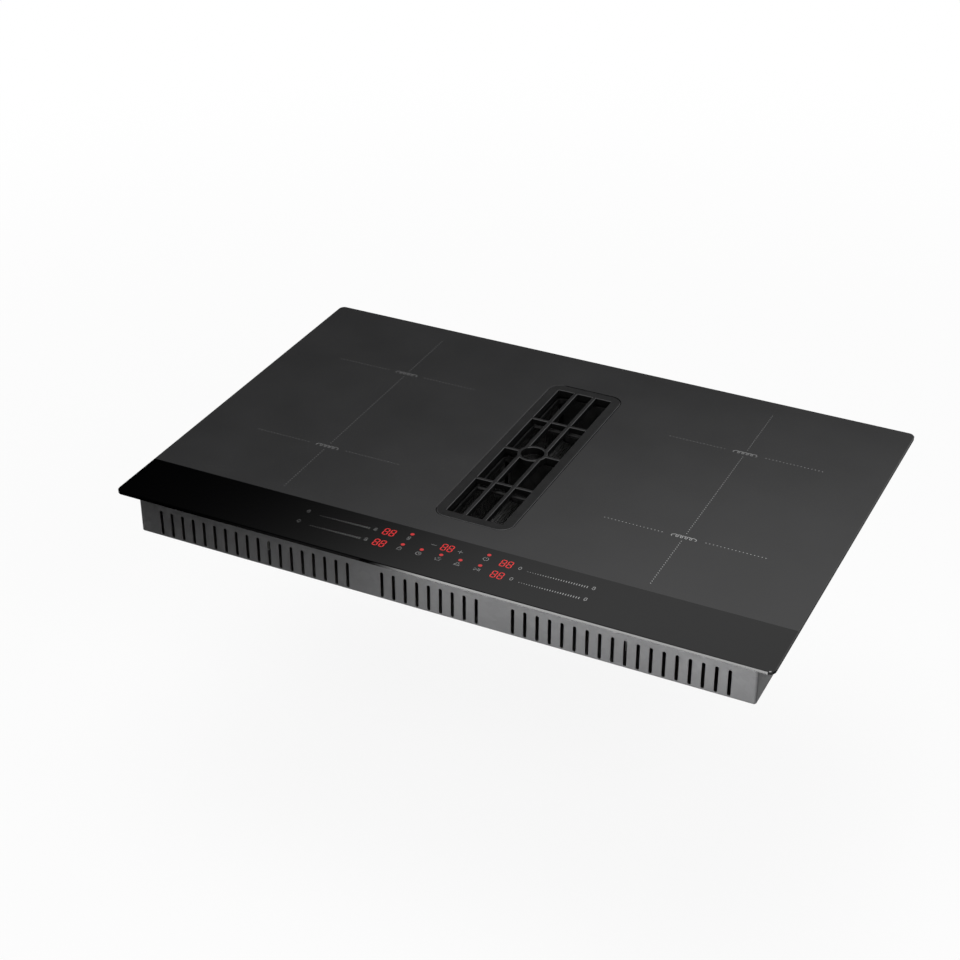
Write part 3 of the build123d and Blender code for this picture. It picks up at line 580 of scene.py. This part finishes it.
def clockSign(x, y):
    return [(arc(x, y, 3, 3), True), ([(x, y + 2), (x, y), (x + 1.6, y)], False)]


def panSign(x, y):
    pot = [(x - 2.8, y + 0.6), (x - 2.4, y - 2.6), (x + 2.4, y - 2.6), (x + 2.8, y + 0.6)]
    steam = [[(x + s, y + 1.8), (x + s + 0.4, y + 2.5), (x + s, y + 3.2)] for s in (-1, 1)]
    rim = [(x - 3.8, y + 0.6), (x + 3.8, y + 0.6)]
    return [(pot, True), *((points, False) for points in (rim, *steam))]


def hoodSign(x, y):
    hood = [(x - 3.4, y - 1), (x - 1.2, y + 1.2), (x - 1.2, y + 3), (x + 1.2, y + 3), (x + 1.2, y + 1.2),
            (x + 3.4, y - 1)]
    return [(hood, True), ([(x - 3.4, y - 2.2), (x + 3.4, y - 2.2)], False)]


def playSign(x, y):
    arrow = [(x - 3.4, y - 2.4), (x - 0.2, y), (x - 3.4, y + 2.4)]
    return [(arrow, True), *(([(x + s, y - 2.4), (x + s, y + 2.4)], False) for s in (1.3, 3))]


def minusSign(x, y):
    return [([(x - 3.2, y), (x + 3.2, y)], False)]


def plusSign(x, y):
    return minusSign(x, y) + [([(x, y - 3.2), (x, y + 3.2)], False)]


controlPrint = {"line": 0.5, "thickness": 0.06, "shiftX": 0.8, "rows": (-202.6, -224.6)}
upperSigns = ((bridgeSign, -46), (powerSign, 47), (minusSign, -15.5), (plusSign, 16.5))
lowerSigns = ((lockSign, -46), (clockSign, -23), (panSign, 0.5), (hoodSign, 23.5), (playSign, 47))
sliderEnds = ((zeroSign, 87.5), (zeroSign, -171.5), (eightSign, 172.5), (eightSign, -87))
controlStrokes = []
for y, row in zip(controlPrint["rows"], (upperSigns, lowerSigns)):
    for sign, x in row + sliderEnds:
        controlStrokes += sign(x + controlPrint["shiftX"], y)
ridesOn(strokePiece("controlSigns", controlStrokes, controlPrint, inks["bandInk"]), "hob", "ceramic_glass")
print("stage: print on the glass")

digitPrint = {"width": 5.0, "height": 11.6, "bar": 1.35, "thickness": 0.05, "spread": 3.9,
              "displays": [(-69.7, -201.6), (-69.7, -224.6), (1.3, -201.6), (71.8, -201.6), (71.8, -224.6)]}


# seven bars make a figure eight: three across, four upright
def digitTree():
    tree, given = startTree("sevenBars", ("width", "height", "bar", "thickness"))
    half = calc(tree, "MULTIPLY", given["height"], 0.5)
    bar = geo(tree, "MeshCylinder", {"Vertices": 6, "Radius": 0.5, "Depth": given["thickness"]})
    lowest = combine(tree, y=calc(tree, "MULTIPLY", half, -1.0))
    across = geo(tree, "MeshLine", {"Count": 3, "Start Location": lowest, "Offset": combine(tree, y=half)})
    flat = geo(tree, "InstanceOnPoints", {"Points": across, "Instance": bar,
                                          "Scale": combine(tree, given["width"], given["bar"], 1.0)})
    upright = geo(tree, "MeshGrid", {"Size X": given["width"], "Size Y": half,
                                     "Vertices X": 2, "Vertices Y": 2})
    tall = geo(tree, "InstanceOnPoints", {"Points": upright, "Instance": bar, "Rotation": (0.0, 0.0, pi / 2),
                                          "Scale": combine(tree, half, given["bar"], 1.0)})
    both = tree.nodes.new("GeometryNodeJoinGeometry")
    for bars in (flat, tall):
        feed(tree, both, {0: bars})
    return endTree(tree, given, both.outputs[0])


digitPlaces = [(x + side * digitPrint["spread"], y, glassTop)
               for x, y in digitPrint["displays"] for side in (-1, 1)]
digits = growPiece("litDigits", digitTree(), digitPlaces, digitPrint, glows["digitGlow"])
ridesOn(digits, "hob", "digit_red")

lampPrint = {"radius": 2.3, "thickness": 0.05,
             "rows": {-194.1: (-45.2, 47.8), -216.4: (-45.2, -22.2, 1.3, 24.3, 47.8)}}


def lampTree():
    tree, given = startTree("roundLamps", ("radius", "thickness"))
    lamp = geo(tree, "MeshCylinder", {"Vertices": 24, "Radius": given["radius"], "Depth": given["thickness"]})
    return endTree(tree, given, lamp)


lampPlaces = [(x, y, glassTop) for y, row in lampPrint["rows"].items() for x in row]
ridesOn(growPiece("litLamps", lampTree(), lampPlaces, lampPrint, glows["lampGlow"]), "hob", "lamp_red")
print("stage: digits and lamps")


coilWire = {"first": 24.5, "last": 88.0, "height": 0.0, "wire": 1.62, "turns": 20.0, "turnSteps": 44,
            "sides": 8, "layers": (189.0, 192.6)}
carrierSpring = {"first": 4.4, "last": 4.4, "height": 5.2, "wire": 0.55, "turns": 3.2, "turnSteps": 14,
                 "sides": 6, "low": 176.1, "ring": 78, "ringTurns": (22.5, 142.5, 262.5)}
touchSpring = {"first": 2.9, "last": 2.9, "height": 9.6, "wire": 0.3, "turns": 5.0, "turnSteps": 14,
               "sides": 6, "low": 186.0, "upper": [(-46, -204.5), (47, -204.5), (-15.5, -203), (16.5, -203)],
               "lower": [(x, -227) for x in (-46, -23, 0.5, 23.5, 47)], "sliderX": range(92, 180, 11)}


# wire wound from the first radius to the last; its points carry how far along the wire they are, in
# metres, and how far around it, from 0 to 1
def wireTree():
    tree, given = startTree("woundWire", ("first", "last", "height", "wire"), turns="Float", turnSteps="Int",
                            sides="Int")
    spiral = geo(tree, "CurveSpiral", {"Resolution": given["turnSteps"], "Rotations": given["turns"],
                                       "Start Radius": given["first"], "End Radius": given["last"],
                                       "Height": given["height"]})
    ring = geo(tree, "CurvePrimitiveCircle", {"Resolution": given["sides"], "Radius": given["wire"]})
    curves = []
    for curve, key, share in ((spiral, "along", "Length"), (ring, "around", "Factor")):
        value = addNode(tree, "GeometryNodeSplineParameter")[share]
        curves.append(geo(tree, "StoreNamedAttribute", {"Geometry": curve, "Name": key, "Value": value},
                          data_type="FLOAT", domain="POINT"))
    tube = geo(tree, "CurveToMesh", {"Curve": curves[0], "Profile Curve": curves[1], "Fill Caps": True})
    return endTree(tree, given, tube, smooth=True)


woundTree = wireTree()
for sideName, side in (("left", -1), ("right", 1)):
    for row in ("rear", "front"):
        spots = [(side * zonePrint["across"], zonePrint[row + "Y"], z) for z in coilWire["layers"]]
        coil = growPiece(row + "Winding" + sideName.title(), woundTree, spots, coilWire, copperStrands)
        ridesOn(coil, "hob", "winding_copper", f"coil_winding_{row}_{sideName}")

ring, turns = carrierSpring["ring"], [radians(turn) for turn in carrierSpring["ringTurns"]]
carrierSpots = [(x + ring * cos(turn), y + ring * sin(turn)) for x, y in zonePlaces for turn in turns]
touchSpots = touchSpring["upper"] + touchSpring["lower"]
touchSpots += [(side * x, y) for side in (-1, 1) for x in touchSpring["sliderX"] for y in controlPrint["rows"]]
for name, node, spring, spots in (("carrierSprings", "coil_springs", carrierSpring, carrierSpots),
                                  ("touchSprings", "touch_springs", touchSpring, touchSpots)):
    places = [(x, y, spring["low"]) for x, y in spots]
    ridesOn(growPiece(name, woundTree, places, spring, finishes["spring_steel"]), "hob", "spring_steel", node)

scrollShape = {"centreY": 100, "half": 8, "radius": 102, "step": 16, "rightWall": 142, "leftWall": -80}
scrollRibs = {"reach": 3.0, "thick": 2.0, "sink": 0.4, "rightY": (128, 144, 178, 192), "leftY": (166,),
              "turns": (152, 178, 188, 213, 240, 266, 275, 303, 328, 352),
              "levels": {"lowerScrollRibs": (3, 41.5), "upperScrollRibs": (50.5, 89.5)}}


def ribTree():
    tree, given = startTree("wallRibs", ("reach", "thick", "height"))
    size = combine(tree, given["reach"], given["thick"], given["height"])
    return endTree(tree, given, geo(tree, "MeshCube", {"Size": size}))


# ribs stand square to the wall of the snail, on its three arcs and on its two straight sides
def ribPlaces(z):
    half = scrollShape["half"]
    out = scrollRibs["reach"] / 2 - scrollRibs["sink"]
    centres = [(-half, -half), (half, -half), (half, half)]
    places = []
    for turn in scrollRibs["turns"]:
        quarter = 0 if turn < 180 else 1 if turn < 270 else 2
        reach = scrollShape["radius"] + quarter * scrollShape["step"] + out
        x, y = centres[quarter]
        places.append((x + reach * cos(radians(turn)),
                       scrollShape["centreY"] + y + reach * sin(radians(turn)), z, turn))
    places += [(scrollShape["rightWall"] + out, y, z, 0) for y in scrollRibs["rightY"]]
    places += [(scrollShape["leftWall"] - out, y, z, 0) for y in scrollRibs["leftY"]]
    return places


wallTree = ribTree()
for name, (low, high) in scrollRibs["levels"].items():
    sizes = dict(scrollRibs, height=high - low)
    ribs = growPiece(name, wallTree, ribPlaces((low + high) / 2), sizes, finishes["fan_plastic"])
    ridesOn(ribs, "hob", "fan_plastic")

clampScrew = {"radius": 2.35, "height": 2.2, "slotWidth": 0.7, "slotDepth": 0.9, "firstX": 266, "pitchX": 12,
              "y": 206, "z": 124.0, "turns": (25, 56, 87, 118, 149)}


# slotted screw head, seen from below inside the terminal block
def clampTree():
    tree, given = startTree("clampScrews", ("radius", "height", "slotWidth", "slotDepth"))
    head = geo(tree, "MeshCylinder", {"Vertices": 24, "Radius": given["radius"], "Depth": given["height"]})
    long = calc(tree, "MULTIPLY", given["radius"], 3.0)
    cutter = geo(tree, "MeshCube", {"Size": combine(tree, long, given["slotWidth"], given["slotDepth"])})
    down = combine(tree, z=calc(tree, "MULTIPLY", given["height"], -0.5))
    moved = geo(tree, "Transform", {"Geometry": cutter, "Translation": down})
    cut = geo(tree, "MeshBoolean", {"Mesh 1": head, "Mesh 2": moved}, operation="DIFFERENCE")
    return endTree(tree, given, cut)


clampPlaces = [(clampScrew["firstX"] + clampScrew["pitchX"] * i, clampScrew["y"], clampScrew["z"], turn)
               for i, turn in enumerate(clampScrew["turns"])]
clamps = growPiece("terminalScrews", clampTree(), clampPlaces, clampScrew, finishes["fastener_steel"])
ridesOn(clamps, "hob", "fastener_steel")
print("stage: coils, springs, ribs, screws")


sealLook = {"sink": 0.12, "waveStep": 0.9, "rings": 10, "squareness": 0.35, "longest": 12.0,
            "cornerSteps": 6, "circleSteps": 72, "fill": 0.8}
foamStrips = {
    "worktopTape": dict(outer=(776, 516), inner=(756, 496), corner=6, low=194.0, high=196.0, y=0,
        node="worktop_seal"),
    "wellGasket": dict(outer=(146, 364), inner=(104, 342), corner=10, low=194.5, high=196.0, y=21,
        node="well_seal"),
    "fanGasket": dict(outer=(123, 123), inner=(114, 114), corner=None, low=92.0, high=94.0, y=100,
        node="fan_seal"),
}


# closed outline of a rounded rectangle, corner by corner, with its long sides divided
def roundedOutline(width, depth, corner):
    outline = []
    for sx, sy, first in ((1, 1, 0), (-1, 1, 90), (-1, -1, 180), (1, -1, 270)):
        cx, cy = sx * (width / 2 - corner), sy * (depth / 2 - corner)
        outline += arc(cx, cy, corner, corner, first, first + 90, sealLook["cornerSteps"])
    points = []
    for (ax, ay), (bx, by) in zip(outline, outline[1:] + outline[:1]):
        parts = max(1, round(hypot(bx - ax, by - ay) / sealLook["longest"]))
        points += [(ax + (bx - ax) * i / parts, ay + (by - ay) * i / parts) for i in range(parts)]
    return points


# a sine or cosine pushed towards its two ends and laid from 0 to 1, which makes a round section squarer
def squared(value):
    return 0.5 + 0.5 * copysign(abs(value) ** sealLook["squareness"], value)


# foam strip between two outlines of as many points, a little wavy on top
def foamPiece(name, outer, inner, low, high, y):
    count, rings = len(outer), sealLook["rings"]
    verts, faces = [], []
    for k in range(rings):
        share, rise = squared(cos(2 * pi * k / rings)), squared(sin(2 * pi * k / rings))
        for i, ((ax, ay), (bx, by)) in enumerate(zip(outer, inner)):
            wave = sealLook["sink"] * sin(i * sealLook["waveStep"]) * (1 - abs(2 * share - 1))
            z = low + (high - low) * rise - wave * rise
            verts.append(Vector((bx + (ax - bx) * share, by + (ay - by) * share + y, z)) * mm)
            j, m = (i + 1) % count, (k + 1) % rings
            faces.append((k * count + i, k * count + j, m * count + j, m * count + i))
    piece = meshPiece(name, verts, faces, finishes["seal_foam"], smooth=True)
    shape = bmesh.new()
    shape.from_mesh(piece.data)
    bmesh.ops.recalc_face_normals(shape, faces=shape.faces)
    shape.to_mesh(piece.data)
    shape.free()
    return piece


for name, strip in foamStrips.items():
    (width, depth), (innerWidth, innerDepth) = strip["outer"], strip["inner"]
    if strip["corner"]:
        outer = roundedOutline(width, depth, strip["corner"])
    else:
        outer = arc(0, 0, width / 2, depth / 2, steps=sealLook["circleSteps"])
    inner = [(x * innerWidth / width, y * innerDepth / depth) for x, y in outer]
    tape = foamPiece(name, outer, inner, strip["low"], strip["high"], strip["y"])
    ridesOn(tape, "hob", "seal_foam", strip["node"])
print("stage: foam seals")


trayShape = {"halfWidth": 34, "length": 146, "low": 128, "high": 184, "bend": 16, "sheet": 0.8,
             "cell": 3.4, "hole": 0.95, "weld": 0.05, "centres": {"rear": 99, "front": -57}}


# one square of sheet with a round hole through it
def holeCell():
    half, hole, sheet = trayShape["cell"] / 2, trayShape["hole"], trayShape["sheet"]
    square = [(half, 0), (half, half), (0, half), (-half, half), (-half, 0), (-half, -half), (0, -half),
              (half, -half)]
    verts = [Vector((x, y, z)) * mm for z in (0, -sheet) for x, y in square + arc(0, 0, hole, hole, steps=8)]
    faces = []
    for i in range(8):
        j = (i + 1) % 8
        faces += [(i, j, 8 + j, 8 + i), (16 + j, 16 + i, 24 + i, 24 + j), (8 + i, 8 + j, 24 + j, 24 + i)]
    return meshPiece("holeCell", verts, faces, finishes["filter_mesh"])


def perforatedTree():
    tree, given = startTree("perforatedSheet", ("width", "length", "weld"), cell="Object", columns="Int",
                            rows="Int")
    grid = geo(tree, "MeshGrid", {"Size X": given["width"], "Size Y": given["length"],
                                  "Vertices X": given["columns"], "Vertices Y": given["rows"]})
    cell = addNode(tree, "GeometryNodeObjectInfo", {"Object": given["cell"]})["Geometry"]
    placed = geo(tree, "InstanceOnPoints", {"Points": grid, "Instance": cell})
    whole = geo(tree, "RealizeInstances", {"Geometry": placed})
    return endTree(tree, given, geo(tree, "MergeByDistance", {"Geometry": whole, "Distance": given["weld"]}))


# a flat sheet is folded to the trough: two upright walls, two round edges, a flat floor
def foldPoint(u, depth):
    half, low, bend = trayShape["halfWidth"], trayShape["low"], trayShape["bend"]
    flat, quarter = half - bend, pi / 2 * bend
    side, reach = (1 if u >= 0 else -1), abs(u)
    if reach <= flat:
        return u, low - depth
    if reach <= flat + quarter:
        angle = (reach - flat) / bend
        return side * (flat + (bend + depth) * sin(angle)), low + bend - (bend + depth) * cos(angle)
    return side * (half + depth), low + bend + reach - flat - quarter


sheetTree = perforatedTree()
template = holeCell()
bend, cell, length = trayShape["bend"], trayShape["cell"], trayShape["length"]
unrolled = 2 * (trayShape["halfWidth"] - bend) + pi * bend + 2 * (trayShape["high"] - trayShape["low"] - bend)
columns, rows = round(unrolled / cell), round(length / cell)
stretchU, stretchY = unrolled / (columns * cell), length / (rows * cell)
sheetSizes = {"cell": template, "columns": columns, "rows": rows, "weld": trayShape["weld"],
              "width": (columns - 1) * cell, "length": (rows - 1) * cell}
for name, centre in trayShape["centres"].items():
    tray = growPiece(f"{name}FilterTray", sheetTree, [(0, 0, 0)], sheetSizes, finishes["filter_mesh"])
    for vert in tray.data.vertices:
        x, z = foldPoint(vert.co.x / mm * stretchU, vert.co.z / mm)
        vert.co = Vector((x, centre + vert.co.y / mm * stretchY, z)) * mm
    tray.data.update()
    ridesOn(tray, f"filter_{name}", "filter_mesh", f"filter_mesh_{name}")
bpy.data.objects.remove(template)
print("stage: filters")


# where a camera or a lamp at a place has to look
def aimedAt(place, aim):
    return (Vector(aim) - Vector(place)).to_track_quat("-Z", "Y").to_euler()


# aim and distance in metres, angles in degrees
cameraSet = {"aim": (-0.02839, -0.06072, 0.20067), "azimuth": 26.005, "elevation": 31.432,
             "distance": 2.226, "lens": 73.28, "sensor": 36, "farthest": 60}
camera = addObject("camera", bpy.data.cameras.new("camera"))
azimuth, elevation = radians(cameraSet["azimuth"]), radians(cameraSet["elevation"])
back = Vector((sin(azimuth) * cos(elevation), -cos(azimuth) * cos(elevation), sin(elevation)))
camera.location = Vector(cameraSet["aim"]) + back * cameraSet["distance"]
camera.rotation_euler = aimedAt(camera.location, cameraSet["aim"])
camera.data.sensor_width = cameraSet["sensor"]
camera.data.lens = cameraSet["lens"]
camera.data.clip_end = cameraSet["farthest"]
scene.camera = camera

# places and sizes in metres, power in watts
softBoxes = {
    "keyBox": dict(place=(1.45, -1.35, 1.7), aim=(0.05, -0.1, 0.15), size=0.9, power=22, mirrored=True),
    "topBox": dict(place=(-0.3, 0.3, 3.0), aim=(0, 0, 0.2), size=2.4, power=58, mirrored=False),
}
for name, box in softBoxes.items():
    lamp = bpy.data.lights.new(name, "AREA")
    lamp.shape = "SQUARE"
    lamp.size = box["size"]
    lamp.energy = box["power"]
    holder = addObject(name, lamp)
    holder.location = box["place"]
    holder.rotation_euler = aimedAt(box["place"], box["aim"])
    holder.visible_glossy = box["mirrored"]

worldSet = {"around": 0.22, "seen": 1.0}
world = scene.world = bpy.data.worlds.new("studio")
world.use_nodes = True
world.cycles.sampling_method = "NONE"
tree = world.node_tree
tree.nodes.clear()
rays = shade(tree, "LightPath")
shown = calc(tree, "MAXIMUM", *(rays[f"Is {kind} Ray"] for kind in ("Camera", "Glossy", "Transmission")))
level = ramp(tree, shown, 0.0, 1.0, worldSet["around"], worldSet["seen"])
sky = shade(tree, "Background", {"Color": asColor(1.0), "Strength": level})[0]
shade(tree, "OutputWorld", {"Surface": sky})


def stageFinish(name):
    made = bpy.data.materials.new(name)
    made.use_nodes = True
    made.node_tree.nodes.clear()
    return made, made.node_tree


# share of the second shader over the first
def mixShaders(tree, share, first, second):
    return shade(tree, "MixShader", {0: share, 1: first, 2: second})[0]


# metres; whiteFrom and whiteTo are distances from the middle
floorSet = {"half": 40.0, "z": -0.2, "paint": 0.9, "ownLight": 0.9, "whiteFrom": 0.7, "whiteTo": 2.6}


# the floor shows nearly white to the camera and keeps the object's shadow; from below it isn't there
def makeFloor():
    made, tree = stageFinish("paleFloor")
    paint = shade(tree, "BsdfDiffuse", {"Color": asColor(floorSet["paint"])})[0]
    glow = shade(tree, "Emission", {"Strength": 1.0})[0]
    away = shade(tree, "VectorMath", {0: objectPlace(tree)}, operation="LENGTH")["Value"]
    own = ramp(tree, away, floorSet["whiteFrom"], floorSet["whiteTo"], floorSet["ownLight"], 1.0, "SMOOTHSTEP")
    share = calc(tree, "MULTIPLY", shade(tree, "LightPath")["Is Camera Ray"], own)
    below = shade(tree, "NewGeometry")["Backfacing"]
    seen = mixShaders(tree, share, paint, glow)
    shade(tree, "OutputMaterial", {0: mixShaders(tree, below, seen, shade(tree, "BsdfTransparent")[0])})
    half, z = floorSet["half"], floorSet["z"]
    corners = [(-half, -half, z), (half, -half, z), (half, half, z), (-half, half, z)]
    return meshPiece("floor", corners, [(0, 1, 2, 3)], made)


# cloths and cards that only reflections see; cover says how much of the white behind them they hide,
# and radiance makes the card a light
def makeCard(name, verts, faces, cover, made, radiance=None):
    tree = made.node_tree
    if radiance is None:
        cloth = shade(tree, "BsdfDiffuse", {"Color": asColor(0.0)})[0]
    else:
        cloth = shade(tree, "Emission", {"Strength": radiance})[0]
    shade(tree, "OutputMaterial", {0: mixShaders(tree, cover, shade(tree, "BsdfTransparent")[0], cloth)})
    card = meshPiece(name, verts, faces, made)
    card.visible_camera = card.visible_diffuse = card.visible_shadow = card.visible_transmission = False
    return card


# radius in metres, the rest in degrees; turn is counted from straight behind the hob to its left, rise
# from the level of the glass; above the curved edge the cloth lets the share named gap of the sky through
domeSet = {"radius": 8.0, "turns": (-60.0, 175.0), "rises": (3.0, 66.0), "steps": 36, "edgeRise": 31.13,
           "edgeAt": 13.0, "edgeSlope": 0.135, "edgeBend": 0.0034, "edgeSoft": 1.41, "gap": 0.623,
           "rightFade": (-32.0, -6.0), "leftFade": (172.0, 145.0), "topFade": (64.0, 54.0)}


# dark cloth behind the hob and to its left, a part of a sphere
def makeDome():
    made, tree = stageFinish("darkCloth")
    axes = splitAxes(tree, objectPlace(tree))
    turn = calc(tree, "ARCTAN2", calc(tree, "MULTIPLY", axes["X"], -1.0), axes["Y"])
    turn = calc(tree, "MULTIPLY", turn, 180 / pi)
    sine = calc(tree, "DIVIDE", calc(tree, "SUBTRACT", axes["Z"], glassTop * mm), domeSet["radius"])
    rise = calc(tree, "MULTIPLY", calc(tree, "ARCSINE", sine), 180 / pi)
    past = calc(tree, "SUBTRACT", turn, domeSet["edgeAt"])
    edge = calc(tree, "ADD", calc(tree, "MULTIPLY", past, domeSet["edgeSlope"]),
                calc(tree, "MULTIPLY", past, past, domeSet["edgeBend"]))
    above = calc(tree, "SUBTRACT", rise, edge, domeSet["edgeRise"])
    steep = calc(tree, "EXPONENT", calc(tree, "DIVIDE", above, -domeSet["edgeSoft"]))
    gap = calc(tree, "DIVIDE", domeSet["gap"], calc(tree, "ADD", steep, 1.0))
    cover = calc(tree, "SUBTRACT", 1.0, gap)
    for value, fade in ((turn, "rightFade"), (turn, "leftFade"), (rise, "topFade")):
        cover = calc(tree, "MULTIPLY", cover, ramp(tree, value, *domeSet[fade], 0.0, 1.0, "SMOOTHSTEP"))
    steps, (fromTurn, toTurn), (fromRise, toRise) = domeSet["steps"], domeSet["turns"], domeSet["rises"]
    verts, faces = [], []
    for i in range(steps + 1):
        for j in range(steps + 1):
            a = radians(fromTurn + (toTurn - fromTurn) * i / steps)
            e = radians(fromRise + (toRise - fromRise) * j / steps)
            direction = Vector((-sin(a) * cos(e), cos(a) * cos(e), sin(e)))
            verts.append(direction * domeSet["radius"] + Vector((0, 0, glassTop * mm)))
            if i < steps and j < steps:
                first = i * (steps + 1) + j
                faces.append((first, first + 1, first + steps + 2, first + steps + 1))
    return makeCard("darkDome", verts, faces, cover, made)


# metres; the cards lie level with the underside of the hob, in front of it and to its right
floorCards = {
    "frontCard": dict(low=(-1.3, -1.5), high=(1.0, -0.3), z=0.003, dark=1.0, light=0.38, fade=(-0.47, 0.29)),
    "sideCard": dict(low=(0.42, -0.29), high=(1.5, 1.2), z=0.003, dark=0.85),
    "edgeCard": dict(low=(-0.22, -0.526), high=(0.4, -0.506), z=0.006, dark=1.0, radiance=8.5,
        fade=(-0.21, -0.12)),
}


def makeFloorCard(name, card):
    made, tree = stageFinish(name + "Cloth")
    cover, radiance = card["dark"], None
    along = splitAxes(tree, objectPlace(tree))["X"]
    if "light" in card:
        cover = ramp(tree, along, *card["fade"], card["dark"], card["light"])
    if "radiance" in card:
        radiance = ramp(tree, along, *card["fade"], 0.0, card["radiance"], "SMOOTHSTEP")
    (ax, ay), (bx, by), z = card["low"], card["high"], card["z"]
    corners = [(ax, ay, z), (bx, ay, z), (bx, by, z), (ax, by, z)]
    return makeCard(name, corners, [(0, 1, 2, 3)], cover, made, radiance)


for staged in (makeFloor(), makeDome(), *(makeFloorCard(name, card) for name, card in floorCards.items())):
    staged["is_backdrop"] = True
scene.view_settings.view_transform = "Standard"
print("stage: camera, light, floor")

sizes = {"cad": [list(cadLow), list(cadHigh)], "visual": [list(corner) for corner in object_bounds()]}
